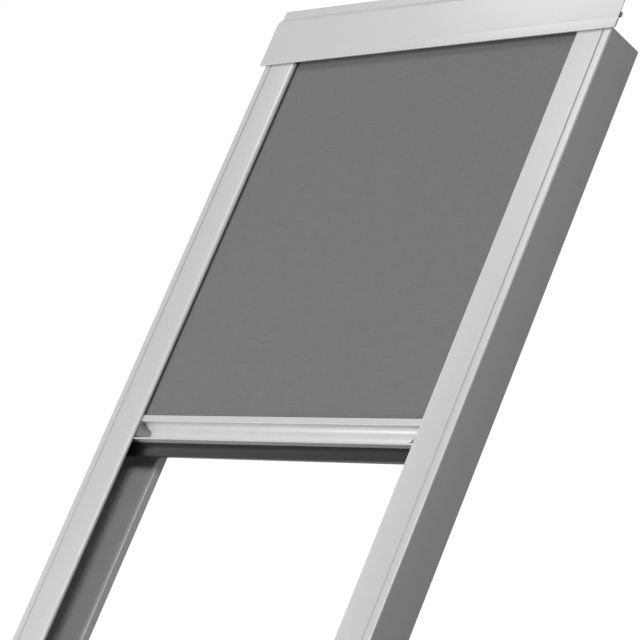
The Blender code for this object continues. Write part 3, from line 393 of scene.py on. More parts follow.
def rail_section():
    """Its mark falls below 0 as painted shade: in the groove by the root of the share of the
    groove's depth, and on the outer side.
    """
    front, wall = FACE_Z, RAIL_WALL
    under = front - wall
    holder = under - SEAL_HOLDER_DROP
    drawing = [
        (0, 0, SOFT),
        (0, front, OUTER_ROUND),
        *dent(*GROOVE, front, GROOVE_DEPTH),
        (RAIL_FACE, front, LIP_ROUND),
        (RAIL_FACE, front - LIP_DROP, PLAIN),
        (RAIL_FACE - wall, front - LIP_DROP, PLAIN),
        (RAIL_FACE - wall, under, LIP_ROUND - wall),
        (SEAL_HOLDER + TRACK_RIB, under, SMALL),
        (SEAL_HOLDER + TRACK_RIB, holder, SMALL),
        (SEAL_HOLDER, holder, SMALL),
        (SEAL_HOLDER, under, SMALL),
        (wall, under, SOFT),
    ]
    for low in (TRACK_Z[1], TRACK_Z[0] - TRACK_RIB):
        high = low + TRACK_RIB
        drawing += [(u, z, SMALL) for u, z in (
            (wall, high), (TRACK_REACH, high), (TRACK_REACH, low), (wall, low))]
    drawing += [
        (wall, RAIL_BACK_DEPTH, SOFT),
        (RAIL_BACK_WIDTH, RAIL_BACK_DEPTH, FOOT_ROUND),
        (RAIL_BACK_WIDTH, 0, FOOT_ROUND),
    ]
    points, mark = rounded(drawing)
    u, z = points.T
    # Painted shade: the groove and the outer side get a mark below 0, which paints them darker.
    held = (u > GROOVE[0]) & (u < GROOVE[1]) & (z > under)
    sunk = np.where(held, np.clip((front - z) / GROOVE_DEPTH, 0, 1), 0)
    side_shade_mark = np.where((u < SHARP_STEP) & (mark == 0), PAINTED_SIDE_SHADE, 0)
    return points, mark - np.sqrt(sunk) - side_shade_mark


def rail_hollows():
    """The back box's two chambers, and the screw's port between them."""
    wall, inner = RAIL_WALL, RAIL_BACK_DEPTH - RAIL_WALL
    port = (sum(SCREW_PORT) / 2, RAIL_BACK_DEPTH / 2)
    return [
        box_outline((wall, wall), (SCREW_PORT[0], inner), SMALL),
        box_outline((SCREW_PORT[1], wall), (RAIL_BACK_WIDTH - wall, inner - SHARP_STEP), SMALL),
        ring(port, PORT_BORE, PORT_SIDES),
    ]

# %% Push both rails
def beside(side):
    """Puts a rail's drawing (u, z) at its side: x = side * (half width - u)."""
    return lambda u, z, y: np.stack([side * (HALF_WIDTH - u), y, z], axis=-1)


SIDES = {"left": -1, "right": 1}
ALONG_SLOPE = 1
for label, side in SIDES.items():
    pushed(f"{label}_rail", f"{label}_side_rail", [rail_section()] + rail_hollows(), beside(side),
           ALONG_SLOPE, ease=0.3 * MM)

# %% [markdown]
# ## The seals in the rails' lips
#
# A thin dark line runs between each rail's lip and the fabric, where the gap under the lip lies in
# shade.  In that gap sits a strip of soft rubber that keeps leaves and water out.  It has the same
# straight run as the rail, so it is made by the same call, only with the rubber's larger rounds.

# %% Push the edge seals
SEAL_SLANT = 1.2 * MM
SEAL_NOSE = 0.8 * MM
for label, side in SIDES.items():
    low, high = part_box(f"{label}_edge_seal")
    inner, outer = sorted(HALF_WIDTH - side * x for x in (low.x, high.x))
    middle = (inner + outer) / 2
    drawing = [
        (inner, high.z, FINE),
        (inner, low.z + SEAL_SLANT, SOFT),
        (middle - SEAL_NOSE, low.z, PLAIN),
        (middle + SEAL_NOSE, low.z, PLAIN),
        (outer, low.z + SEAL_SLANT, SOFT),
        (outer, high.z, FINE),
    ]
    pushed(f"{label}_lip_seal", f"{label}_edge_seal", [rounded(drawing)], beside(side),
           ALONG_SLOPE)

# %% [markdown]
# ## The head cover
#
# The cover is one sheet-like extrusion: a wide panel, a riser that drops to a narrow strip at the
# top, a folded hem along its lower edge and a hook inside that clips it on.  Where the hem ends
# underneath, the panel shows a faint line.  A normal map could fake that line, but the light
# slides over it at a low angle, so it is a real dent of two tenths of a millimetre in the section.

# %% Give the cover's sizes
COVER_SHEET = 1.6 * MM
COVER_PANEL = 86.2 * MM
COVER_ROUND = 1.0 * MM
OUTER_BEND, INNER_BEND = 1.6 * MM, 1.2 * MM
RISER_RUN = 12.5 * MM
STRIP_Z = COVER_FACE_Z - 6.8 * MM
HEM_DEPTH, HEM_WIDTH, HEM_SHEET = 3.4 * MM, 16.0 * MM, 1.0 * MM
HOOK_PLACE, HOOK_DEPTH = 29.0 * MM, 7.6 * MM
HOOK_REACH, HOOK_SHEET = 8.0 * MM, 1.5 * MM
CREASE = (16.6 * MM, 20.6 * MM)
CREASE_DEPTH = 0.20 * MM

# %% Draw and push the cover
def cover_section():
    """The riser's inner side is shifted by sheet * tan(half the riser's slope angle)."""
    bottom, top, face = COVER_BOTTOM, cover_high.y, COVER_FACE_Z
    under, strip_under = face - COVER_SHEET, STRIP_Z - COVER_SHEET
    riser, riser_end = bottom + COVER_PANEL, bottom + COVER_PANEL + RISER_RUN
    lean = COVER_SHEET * math.tan(math.atan2(face - STRIP_Z, RISER_RUN) / 2)
    hook, hook_low, hem_low = bottom + HOOK_PLACE, face - HOOK_DEPTH, face - HEM_DEPTH
    return rounded([
        (bottom, face, COVER_ROUND),
        *dent(bottom + CREASE[0], bottom + CREASE[1], face, CREASE_DEPTH),
        (riser, face, OUTER_BEND),
        (riser_end, STRIP_Z, INNER_BEND),
        (top, STRIP_Z, SMALL),
        (top, strip_under, SMALL),
        (riser_end - lean, strip_under, OUTER_BEND),
        (riser - lean, under, INNER_BEND),
        (hook, under, SMALL),
        (hook, hook_low, SOFT),
        (hook - HOOK_REACH, hook_low, SMALL),
        (hook - HOOK_REACH, hook_low + HOOK_SHEET, SMALL),
        (hook - HOOK_SHEET, hook_low + HOOK_SHEET, SMALL),
        (hook - HOOK_SHEET, under, SMALL),
        (bottom + HEM_SHEET, under, FINE),
        (bottom + HEM_SHEET, hem_low + HEM_SHEET, FINE),
        (bottom + HEM_WIDTH, hem_low + HEM_SHEET, FINE),
        (bottom + HEM_WIDTH, hem_low, FINE),
        (bottom, hem_low, COVER_ROUND),
    ])


def across(y, z, x):
    """Puts a drawing (y, z) across the blind, at x."""
    return np.stack([x, y, z], axis=-1)


pushed("cover", "head_cover", [cover_section()], across, ease=0.3 * MM)

# %% [markdown]
# ## The bottom bar
#
# The bar carries the fabric's end in a round slot, has a hollow grip for the fingers, and holds the
# weather seal in a slot below.  A grip could be an arc cut from a box, but here it is a half oval
# whose powers are a little above two, which gives the steep sides and the soft floor of the real
# one.  The grip's floor gets a mark like the worn rounds, which paints it lighter: painted light in
# the hollow.

# %% Give the bar's sizes
GRIP = (11.1 * MM, 39.8 * MM)
GRIP_DEPTH = 13.0 * MM
GRIP_POWER = 2.7
# The grip floor's mark paints it lighter: painted light in the hollow.
GRIP_PAINTED_LIGHT = 0.6
GRIP_EDGE, BACK_ROUND = 0.7 * MM, 2.0 * MM
BAR_WALL = 1.8 * MM
BAR_HEIGHT = bar_high.y - bar_low.y
BAR_DEPTH = bar_high.z - bar_low.z
SLOT_CENTRE, SLOT_RADIUS, SLOT_MOUTH = 8.0 * MM, 2.8 * MM, 0.8 * MM
SLOT_DEPTH = BAR_FRONT_Z - FABRIC_Z
BAR_PORT = (4.6 * MM, 16.5 * MM)
BAR_PORT_REACH = 3.7 * MM
SEAL_NECK = (13.5 * MM, 17.1 * MM)
SEAL_ROOT = (12.1 * MM, 18.5 * MM)
SEAL_MOUTH, SEAL_SLOT, SEAL_WALL = 1.7 * MM, 4.9 * MM, 1.1 * MM

# %% Curve the grip and the fabric's slot
def grip_points(steps=28):
    """The grip's half oval: |cos|^(2/p) across and sin^(2/p) inwards, with p the power."""
    t = np.linspace(0, np.pi, steps + 1)
    middle, half = sum(GRIP) / 2, (GRIP[1] - GRIP[0]) / 2
    across_way = -np.sign(np.cos(t)) * np.abs(np.cos(t)) ** (2 / GRIP_POWER)
    inwards = np.clip(np.sin(t), 0, 1) ** (2 / GRIP_POWER)
    radii = np.zeros(steps + 1)
    radii[[0, -1]] = GRIP_EDGE
    return np.stack([middle + half * across_way, GRIP_DEPTH * inwards, radii], axis=1)


def slot_points(steps=20):
    """The fabric slot's round bore, from one side of its mouth to the other."""
    half = math.asin(SLOT_MOUTH / SLOT_RADIUS)
    t = np.linspace(2 * np.pi - half, half, steps + 1)
    v = SLOT_CENTRE - SLOT_RADIUS * np.cos(t)
    return np.stack([v, SLOT_DEPTH + SLOT_RADIUS * np.sin(t), np.zeros(steps + 1)], axis=1)

# %% Draw the bar's section
def tee(foot, shoulder, end, neck, root, rounds=(FINE, FINE, FINE)):
    """The corners of a T: from its foot along the neck, round the root and back."""
    near, middle, far = rounds
    back, front = ([(foot, neck[side], near), (shoulder, neck[side], near),
                    (shoulder, root[side], middle), (end, root[side], far)] for side in (1, 0))
    return back + front[::-1]


def bar_section():
    """Mouth, slot, back, seal slot and grip in turn; the grip's floor is marked to be painted
    lighter, as painted light.
    """
    bottom = BAR_HEIGHT
    behind = [
        (0, SLOT_DEPTH + SLOT_MOUTH, FINE),
        (0, BAR_DEPTH, BACK_ROUND),
        (bottom, BAR_DEPTH, BACK_ROUND),
        *tee(bottom, bottom - SEAL_MOUTH, bottom - SEAL_SLOT, SEAL_NECK, SEAL_ROOT),
        (bottom, 0, SOFT),
    ]
    points, mark = rounded(np.concatenate([
        [(0, SLOT_DEPTH - SLOT_MOUTH, FINE)], slot_points(), behind, grip_points()[::-1],
        [(0, 0, SOFT)]]))
    v, depth = points.T
    floor = (v > GRIP[0]) & (v < GRIP[1])
    floor &= (depth > 0.5 * GRIP_DEPTH) & (depth < GRIP_DEPTH + SHARP_STEP)
    return points, np.where(floor, GRIP_PAINTED_LIGHT, mark)


def bar_hollows():
    """The chamber behind the grip, two beside the slot, and the screw's port."""
    high, low = BAR_WALL, GRIP[0] - BAR_WALL
    above_seal = BAR_HEIGHT - SEAL_SLOT - SEAL_WALL
    front, back = SLOT_DEPTH + SLOT_RADIUS + BAR_WALL, BAR_DEPTH - BAR_WALL
    return [
        box_outline((GRIP[0] + BAR_WALL, GRIP_DEPTH + BAR_WALL), (above_seal, back), SMALL),
        box_outline((high, front), (low, BAR_PORT[1] - BAR_PORT_REACH), SMALL),
        box_outline((high, BAR_PORT[1] + BAR_PORT_REACH), (low, back), SMALL),
        ring(BAR_PORT, PORT_BORE, PORT_SIDES),
    ]

# %% Push the bar
def on_bar(v, depth, x):
    """Puts the bar's drawing (down from its top, back from its front) across the blind."""
    return np.stack([x, BAR_TOP - v, BAR_FRONT_Z - depth], axis=-1)


pushed("grip_bar", "bottom_bar", [bar_section()] + bar_hollows(), on_bar, ease=0.2 * MM)

# %% [markdown]
# ## The weather seal
#
# The black seal hangs under the bar and closes the last gap.  Its root is a T that slides into the
# bar's slot.  Soft rubber bulges where it is pressed, so its front is a shallow sine curve and not
# a flat face, and its lower edge has larger rounds than metal could have.

# %% Draw and push the weather seal
seal_low, seal_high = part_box("bottom_seal")
SEAL_FRONT, SEAL_THICKNESS, SEAL_BULGE = 11.8 * MM, 7.0 * MM, 1.2 * MM
SEAL_PLAY, SEAL_CHAMFER, SEAL_TIP = 0.3 * MM, 2.0 * MM, 0.9 * MM


def weather_seal_section(steps=12):
    """The front bulges by depth * sin(pi * way down); the root and neck are straight."""
    top, bottom = bar_low.y - SEAL_PLAY, seal_low.y
    root_low = bar_low.y + SEAL_MOUTH + SEAL_PLAY
    front = BAR_FRONT_Z - SEAL_FRONT
    back = front - SEAL_THICKNESS
    way = np.linspace(0, 1, steps + 1)
    soft = np.zeros(steps + 1)
    soft[[0, -1]] = PLAIN, SEAL_TIP
    bulge = front + SEAL_BULGE * np.sin(np.pi * way)
    blade = np.stack([top + (bottom - top) * way, bulge, soft], axis=1)
    neck, root = ((BAR_FRONT_Z - near - SEAL_PLAY, BAR_FRONT_Z - far + SEAL_PLAY)
                  for near, far in (SEAL_NECK, SEAL_ROOT))
    rest = [
        (bottom, back + SEAL_CHAMFER, SOFT),
        (bottom + SEAL_CHAMFER, back, SOFT),
        (top, back, PLAIN),
        *tee(top, root_low, seal_high.y, neck, root, (TINY, FINE, PLAIN)),
    ]
    return rounded(np.concatenate([blade, rest]))


pushed("weather_seal", "bottom_seal", [weather_seal_section()], across, ease=0.4 * MM)

# %% [markdown]
# ## The fabric on the roll
#
# A roll is one sheet wound on itself.  A plain cylinder would look right from outside, but its
# ends would show no layers.  Here the section is a real spiral: the radius falls by a little more
# than the cloth's thickness with each turn, from the layer that runs off towards the bar down to
# the tube.

# %% Wind the roll
CLOTH = 0.5 * MM
LAYER_STEP = 0.52 * MM
POINTS_PER_TURN = 56
TUBE_RADIUS = 17.5 * MM
TUBE_PLAY = 0.2 * MM
LAYER_EASE = 0.05 * MM
ROLL_RADIUS = FABRIC_Z + CLOTH / 2 - ROLLER_Z


def spiral_section():
    """Points at radius = outer radius - step * turns, at an angle of 90 degrees - the turns."""
    in_all = (ROLL_RADIUS - CLOTH - TUBE_RADIUS - TUBE_PLAY) / LAYER_STEP
    turns = np.linspace(0, in_all, int(in_all * POINTS_PER_TURN))
    angle = np.pi / 2 - 2 * np.pi * turns
    radius = (ROLL_RADIUS - LAYER_STEP * turns)[:, None]
    way = np.stack([np.cos(angle), np.sin(angle)], axis=1)
    outline = np.concatenate([way * radius, (way * (radius - CLOTH))[::-1]])
    length = 2 * math.pi * radius.mean() * in_all
    print(f"the roll holds {in_all:.1f} turns, {length:.2f} m of cloth")
    return rounded(outline + np.array([ROLLER_Y, ROLLER_Z]), 0.0)


pushed("cloth_roll", "fabric_roll", [spiral_section()], across, ease=LAYER_EASE)

# %% [markdown]
# ## The stretched fabric
#
# The fabric leaves the roll, runs flat under the rails' lips and ends in the bar's slot.  When the
# bar moves, the real cloth winds on or off the roll.  A mesh can't wind, so it has to shrink or
# stretch evenly between the roll, which stays, and the bar, which moves.  A blend follows the
# second body by a smooth S-curve between two points, and over a long way that curve would fold the
# cloth back over itself.  So the sheet falls by half a millimetre on its way, along the reverse of
# that S-curve, and the blend is measured along this fall: then each point moves by its exact share.

# %% Stretch the fabric
CLOTH_FALL = 0.5 * MM
CLOTH_ROWS, CLOTH_COLUMNS = 180, 97
SLOT_REACH = 5.5 * MM
cloth_top, cloth_bottom = ROLLER_Y, BAR_TOP - SLOT_REACH


def stretched_sheet():
    """A flat grid whose height is start - fall * t, with t from share = t * t * (3 - 2 * t)."""
    share = np.linspace(0, 1, CLOTH_ROWS)[:, None]
    t = 0.5 - np.sin(np.arcsin(1 - 2 * share) / 3)
    x = np.linspace(panel_low.x, panel_high.x, CLOTH_COLUMNS)
    y = cloth_top + (cloth_bottom - cloth_top) * share
    z = FABRIC_Z + CLOTH_FALL / 2 - CLOTH_FALL * t
    return np.stack(np.broadcast_arrays(x, y, z), axis=-1)


cloth_points = stretched_sheet()
cloth_faces = grid_faces(CLOTH_ROWS, CLOTH_COLUMNS)[:, ::-1]
cloth_map = cloth_points.reshape(-1, 3)[cloth_faces][..., [1, 0]]
cloth = new_piece("screen_cloth", cloth_points, [cloth_faces], [cloth_map])
if cloth.data.polygons[0].normal.z < 0:
    cloth.data.flip_normals()
thickness = cloth.modifiers.new("Cloth thickness", "SOLIDIFY")
thickness.thickness = CLOTH
thickness.offset = 0.0
stands_for(cloth, "fabric_panel")
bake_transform(cloth)

# %% [markdown]
# ## Turned pieces
#
# Tube, plugs, bushes, shaft and collar are all turned: one outline carried round the roller's axis.
# Blender's Screw modifier does this too.  Here it is a grid again, so the outline gets the same
# rounded corners as the extrusions.  An outline that touches the axis ends in a pole, and the
# doubled points there are merged.

# %% Turn an outline round the roller's axis
def merged(piece):
    """Merges doubled points and turns the faces outwards again."""
    shape = bmesh.new()
    shape.from_mesh(piece.data)
    bmesh.ops.remove_doubles(shape, verts=shape.verts, dist=1e-7)
    bare = [edge for edge in shape.edges if not edge.link_faces]
    bmesh.ops.delete(shape, geom=bare, context="EDGES")
    bmesh.ops.recalc_face_normals(shape, faces=shape.faces)
    shape.to_mesh(piece.data)
    shape.free()
    return piece


def turned(name, node, profile, sides=48):
    """Point (i, j) = (along i, radius i * cos t, radius i * sin t), about the roller's axis.

    Each row of the profile is a place along the axis, a radius and the corner's round.
    """
    outline, mark = rounded(profile, steps=4)
    along, radius = outline[:, :1], np.maximum(outline[:, 1:], 0)
    t = np.linspace(0, 2 * np.pi, sides, endpoint=False)
    places = (along, ROLLER_Y + radius * np.cos(t), ROLLER_Z + radius * np.sin(t))
    points = np.stack(np.broadcast_arrays(*places), axis=-1).reshape(-1, 3)
    faces = grid_faces(len(outline), sides, close_rows=1, close_columns=1)
    piece = new_piece(name, points, [faces], [points[faces][..., :2]], np.repeat(mark, sides))
    return stands_for(merged(piece), node)


def even(corner_round, *places):
    """An outline whose corners all have one round."""
    return [(*place, corner_round) for place in places]


def sleeve(low, high, outer, inner, corner_round):
    """The outline of a plain ring from low to high along the axis."""
    return even(corner_round, (low, outer), (high, outer), (high, inner), (low, inner))

# %% Turn the pieces of the roller
TUBE_WALL = 1.5 * MM
PIN_RADIUS = 4.0 * MM
CLEAR = 0.3 * MM
FLANGE_GAP, FLANGE_SHEET = 0.4 * MM, 1.8 * MM
BUSH_OUTER, BUSH_FLANGE = 6.7 * MM, 1.2 * MM
HEAD_RISE = 2.0 * MM
PIN_ROUND, PLUG_ROUND = 0.8 * MM, 1.2 * MM
tube_end = tube_high.x
tube_bore = TUBE_RADIUS - TUBE_WALL
seat, bore = tube_bore - CLEAR, PIN_RADIUS + CLEAR
inside, outside = tube_end + FLANGE_GAP, tube_end + FLANGE_GAP + FLANGE_SHEET

turned("winding_tube", "roller_tube", sleeve(-tube_end, tube_end, TUBE_RADIUS, tube_bore, FINE))
low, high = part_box("idle_end_plug")
turned("plug_with_pin", "idle_end_plug", [
    (low.x, 0, SHARP),
    (low.x, PIN_RADIUS, PIN_ROUND),
    (-outside, PIN_RADIUS, PLAIN),
    (-outside, TUBE_RADIUS, PLAIN),
    (-inside, TUBE_RADIUS, FINE),
    (-inside, seat, FINE),
    (high.x, seat, PLUG_ROUND),
    (high.x, 0, SHARP),
])
low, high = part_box("spring_end_plug")
turned("plug_on_shaft", "spring_end_plug", even(
    FINE, (low.x, seat), (inside, seat), (inside, TUBE_RADIUS), (high.x, TUBE_RADIUS),
    (high.x, bore), (low.x, bore)))
low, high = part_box("idle_bearing_bush")
flange, rim = low.x + BUSH_FLANGE, BUSH_OUTER + HEAD_RISE
turned("bush_in_bracket", "idle_bearing_bush", even(
    FINE, (low.x, rim), (flange, rim), (flange, BUSH_OUTER), (high.x, BUSH_OUTER),
    (high.x, bore), (low.x, bore)))
low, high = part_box("spring_shaft")
turned("fixed_shaft", "spring_shaft", [
    (low.x, 0, SHARP),
    (low.x, PIN_RADIUS, SOFT),
    (high.x - BUSH_FLANGE, PIN_RADIUS, TINY),
    (high.x - BUSH_FLANGE, PIN_RADIUS + HEAD_RISE, FINE),
    (high.x, PIN_RADIUS + HEAD_RISE, SMALL),
    (high.x, 0, SHARP),
])
low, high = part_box("spring_anchor")
collar_radius = (high.z - low.z) / 2
turned("spring_collar", "spring_anchor", sleeve(low.x, high.x, collar_radius, bore, PLAIN))
low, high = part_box("shaft_support_bush")
turned("shaft_bush", "shaft_support_bush", sleeve(low.x, high.x, seat, bore, PLAIN))

# %% [markdown]
# ## The counterbalance spring
#
# The coil is one steel wire wound 48 times.  A curve with a round bevel could be used, but the grid
# is as short: a small circle is carried along the winding line, in the plane of the outward
# direction and the direction square to both it and the wire.  The first and last turns lie nearly
# touching, as the closed ends of a real spring do.

# %% Wind the spring
SPRING_TURNS, SPRING_POINTS = 48, 34
WIRE, WIRE_SIDES = 0.8 * MM, 10
END_PITCH = 1.7 * MM


def coil(low, high):
    """Centre (x, R cos t, R sin t); x grows by the pitch over one turn, less in the end turns."""
    length, radius = high.x - low.x - 2 * WIRE, (high.z - low.z) / 2 - WIRE
    turns = np.linspace(0, SPRING_TURNS, SPRING_TURNS * SPRING_POINTS + 1)
    closed = (turns < 1) | (turns > SPRING_TURNS - 1)
    pitch = np.where(closed, END_PITCH, (length - 2 * END_PITCH) / (SPRING_TURNS - 2))
    climb = np.concatenate([[0], np.cumsum((pitch[1:] + pitch[:-1]) / 2) / SPRING_POINTS])
    t = 2 * np.pi * turns
    outward = np.stack([np.zeros_like(t), np.cos(t), np.sin(t)], axis=1)
    centre = outward * radius + np.array([0, ROLLER_Y, ROLLER_Z])
    centre[:, 0] = low.x + WIRE + climb * length / climb[-1]
    sideways = np.cross(unit(np.gradient(centre, axis=0)), outward)
    p = np.linspace(0, 2 * np.pi, WIRE_SIDES, endpoint=False)[None, :, None]
    return centre[:, None] + WIRE * (np.cos(p) * outward[:, None] + np.sin(p) * sideways[:, None])


def capped(name, node, grid, smooth_angle=32.0):
    """A grid that closes round its columns, with a flat end on its first and its last row."""
    rows, columns = grid.shape[:2]
    row = np.arange(columns)[None]
    faces = grid_faces(rows, columns, close_columns=1)
    parts = [faces, row[:, ::-1], row + (rows - 1) * columns]
    points = grid.reshape(-1, 3)
    maps = [points[part][..., :2] for part in parts]
    return stands_for(new_piece(name, points, parts, maps, smooth_angle=smooth_angle), node)


spring_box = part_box("counterbalance_spring")
capped("coil_spring", "counterbalance_spring", coil(*spring_box), smooth_angle=60.0)

# %% [markdown]
# ## Screws
#
# Eight pan-head screws hold the caps and the brackets.  A screw is mostly a turned piece, but two
# things aren't round: the cross in its head and its thread.  Both are small changes to a grid of
# rows along the screw and columns round it: the cross lowers the points that lie in its arms, and
# the thread lets the radius follow the angle plus the way along the shank.

# %% Give the screw's sizes
HEAD_HEIGHT, HEAD_RADIUS = 2.2 * MM, 3.8 * MM
SHANK_RADIUS, SCREW_LENGTH = 2.0 * MM, 10.0 * MM
THREAD_PITCH, THREAD_DEPTH = 1.25 * MM, 0.3 * MM
CROSS_WIDTH, CROSS_REACH, CROSS_DEPTH, CROSS_SLOPE = 0.5 * MM, 1.9 * MM, 1.1 * MM, 0.15 * MM
CROWN_SHARE, CROWN_FALL, RIM_BASE, RIM_RISE = 0.9, 0.35, 0.2, 0.545
POINT_LENGTH, POINT_TAPER = 2.2 * MM, 0.6
CROWN_ROWS, RIM_ROWS, SHANK_ROWS = 26, 5, 84
THREAD_START = (0.5 * MM, 1.5 * MM)
SCREW_SIDES = 48
screw_angle = np.linspace(0, 2 * np.pi, SCREW_SIDES, endpoint=False)

# %% Shape one screw
def soft_step(value, low, high):
    """t * t * (3 - 2 * t), where t goes from 0 at low to 1 at high and stops there."""
    t = np.clip((value - low) / (high - low), 0, 1)
    return t * t * (3 - 2 * t)


def around(radius, height):
    """A grid of points at a radius and a height, at each of the screw's angles."""
    x, y = radius * np.cos(screw_angle), radius * np.sin(screw_angle)
    return np.stack(np.broadcast_arrays(x, y, height), axis=-1)


def screw_grid():
    """Rows from the crown's middle over the head, down the shank to the point.

    Crown: height = head * (1 - 0.35 (r / R)^3), less the cross where |x| or |y| is under half the
    arm's width.  Shank: radius = full - depth * |2 frac(along / pitch - angle / 360) - 1|.
    """
    r = np.linspace(0.02, 1, CROWN_ROWS)[:, None] * HEAD_RADIUS * CROWN_SHARE
    head = around(r, HEAD_HEIGHT * (1 - CROWN_FALL * (r / HEAD_RADIUS) ** 3))
    near, far = np.sort(np.abs(head[..., :2]), axis=-1).transpose(2, 0, 1)
    arm = 1 - soft_step(near, CROSS_WIDTH / 2, CROSS_WIDTH / 2 + CROSS_SLOPE)
    arm *= 1 - soft_step(far, CROSS_REACH * 0.55, CROSS_REACH)
    head[..., 2] -= CROSS_DEPTH * arm
    t = np.linspace(0.2, 1, RIM_ROWS)[:, None] * np.pi / 2
    rim = around(HEAD_RADIUS * (CROWN_SHARE + (1 - CROWN_SHARE) * np.sin(t)),
                 HEAD_HEIGHT * (RIM_BASE + RIM_RISE * np.cos(t)))
    under = np.array([(HEAD_RADIUS, 0.05 * MM), (HEAD_RADIUS - 0.1 * MM, 0), (SHANK_RADIUS, 0)])
    along = np.linspace(0.3 * MM, SCREW_LENGTH, SHANK_ROWS)[:, None]
    taper = 1 - POINT_TAPER * soft_step(along, SCREW_LENGTH - POINT_LENGTH, SCREW_LENGTH)
    phase = along / THREAD_PITCH - screw_angle / (2 * np.pi)
    tooth = np.abs(2 * (phase - np.floor(phase)) - 1) * soft_step(along, *THREAD_START)
    shank = around((SHANK_RADIUS - THREAD_DEPTH * tooth) * taper, -along)
    return np.concatenate([head, rim, around(under[:, :1], under[:, 1:]), shank])

# %% Put the screws in
def screw(name, node, direction):
    """A screw where its node is, with its shank pointing along direction."""
    direction = Vector(direction)
    low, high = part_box(node)
    axis = max(range(3), key=lambda i: abs(direction[i]))
    place = (low + high) / 2
    place[axis] = (low if direction[axis] > 0 else high)[axis] + direction[axis] * HEAD_HEIGHT
    rotation = Vector((0, 0, -1)).rotation_difference(direction).to_matrix()
    return capped(name, node, screw_grid() @ np.array(rotation).T + np.array(place))


for label, side in SIDES.items():
    screw(f"{label}_foot_screw", f"{label}_end_cap_screw", (0, 1, 0))
    screw(f"{label}_cap_screw", f"{label}_bar_screw", (-side, 0, 0))
    for number in (1, 2):
        screw(f"{label}_tongue_screw_{number}", f"{label}_bracket_screw_{number}", (0, 0, -1))

# %% [markdown]
# ## Small extruded pieces
#
# The carcass is a folded sheet behind the roller, the rod holds the fabric's hem in the bar's slot,
# the bowed strips press the glides against their tracks, and the rubber stops end the bar's way
# down.  Each could be a stretched cube or cylinder, but its folds and ends would stay sharp.  As
# pushed sections they get their rounds from the same call, and their places come from the boxes of
# their nodes.

# %% Push the small pieces
SHEET = 1.2 * MM
CARCASS_LIP = 10.0 * MM
FOLD, INNER_FOLD = 1.8 * MM, 0.7 * MM
ROD_EASE, STRIP, STRIP_EASE, STOP_ROUND = 0.6 * MM, 0.4 * MM, 0.08 * MM, 1.2 * MM


def carcass_section(low, high):
    """A folded sheet: up the back, along the floor and up a low lip."""
    return rounded([
        (high.y, high.z, TINY),
        (high.y, low.z, FOLD),
        (low.y, low.z, FOLD),
        (low.y, low.z + CARCASS_LIP, TINY),
        (low.y + SHEET, low.z + CARCASS_LIP, TINY),
        (low.y + SHEET, low.z + SHEET, INNER_FOLD),
        (high.y - SHEET, low.z + SHEET, INNER_FOLD),
        (high.y - SHEET, high.z, TINY),
    ])


def rod_section(low, high):
    """A circle in the middle of its box."""
    return ring(((low.y + high.y) / 2, (low.z + high.z) / 2), (high.y - low.y) / 2, 24)


def bowed_strip(low, high, steps=24):
    """A strip that follows base + rise * cos(pi * way / length)."""
    way = np.linspace(-0.5, 0.5, steps + 1)
    y = (low.y + high.y) / 2 + (high.y - low.y) * way
    z = low.z + (high.z - low.z - STRIP) * np.cos(np.pi * way)
    under = np.stack([y, z], axis=1)
    return rounded(np.concatenate([under, under[::-1] + np.array([0, STRIP])]), 0.0)


def upslope(x, z, y):
    """Puts a drawing (x, z) along the slope, at y."""
    return np.stack([x, y, z], axis=-1)


pushed("back_sheet", "head_carcass", [carcass_section(*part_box("head_carcass"))], across)
pushed("hem_rod", "fabric_spline", [rod_section(*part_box("fabric_spline"))], across, ease=ROD_EASE)
for label in SIDES:
    node = f"{label}_brake_spring"
    pushed(f"{label}_brake_strip", node, [bowed_strip(*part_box(node))], across, ease=STRIP_EASE,
           smooth_angle=50.0)
    node = f"{label}_stop_buffer"
    low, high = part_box(node)
    block = box_outline((low.x, low.z), (high.x, high.z), STOP_ROUND)
    pushed(f"{label}_rubber_stop", node, [block], upslope, ALONG_SLOPE, ease=STOP_ROUND)

# %% [markdown]
# ## Moulded and milled pieces
#
# The brackets, end caps, glides and bar caps have holes and pockets, which a single section can't
# give.  Their solids have the right shape, with sharp edges.  A copy of each is merged, its flat
# faces are joined, and a bevel rounds its edges: a small one for metal, a larger one for mouldings.

# %% Finish copies of the cut solids
FLAT_ANGLE, SMOOTH_ANGLE, BEVEL_ANGLE = (math.radians(angle) for angle in (0.5, 30, 40))


def eased_copy(name, node, width):
    """A merged copy of a node with its edges rounded by width."""
    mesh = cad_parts[node].data.copy()
    mesh.name = name
    shape = bmesh.new()
    shape.from_mesh(mesh)
    bmesh.ops.remove_doubles(shape, verts=shape.verts, dist=1e-6)
    bmesh.ops.dissolve_limit(shape, angle_limit=FLAT_ANGLE, verts=shape.verts, edges=shape.edges)
    shape.to_mesh(mesh)
    shape.free()
    if "custom_normal" in mesh.attributes:
        mesh.attributes.remove(mesh.attributes["custom_normal"])
    mesh.polygons.foreach_set("use_smooth", np.ones(len(mesh.polygons), bool))
    mesh.set_sharp_from_angle(angle=SMOOTH_ANGLE)
    piece = in_scene(name, mesh)
    bevel = piece.modifiers.new("Eased edges", "BEVEL")
    bevel.width = width
    bevel.segments = 2
    bevel.limit_method = "ANGLE"
    bevel.angle_limit = BEVEL_ANGLE
    bevel.harden_normals = True
    bevel.use_clamp_overlap = True
    return stands_for(piece, node)


for label in SIDES:
    for name, node, width in (
        ("end_bracket", "head_bracket", 0.35 * MM),
        ("foot_cap", "rail_end_cap", 0.5 * MM),
        ("bar_cap", "bar_end_cap", 0.35 * MM),
        ("slider", "glide", 0.6 * MM),
    ):
        eased_copy(f"{label}_{name}", f"{label}_{node}", width)

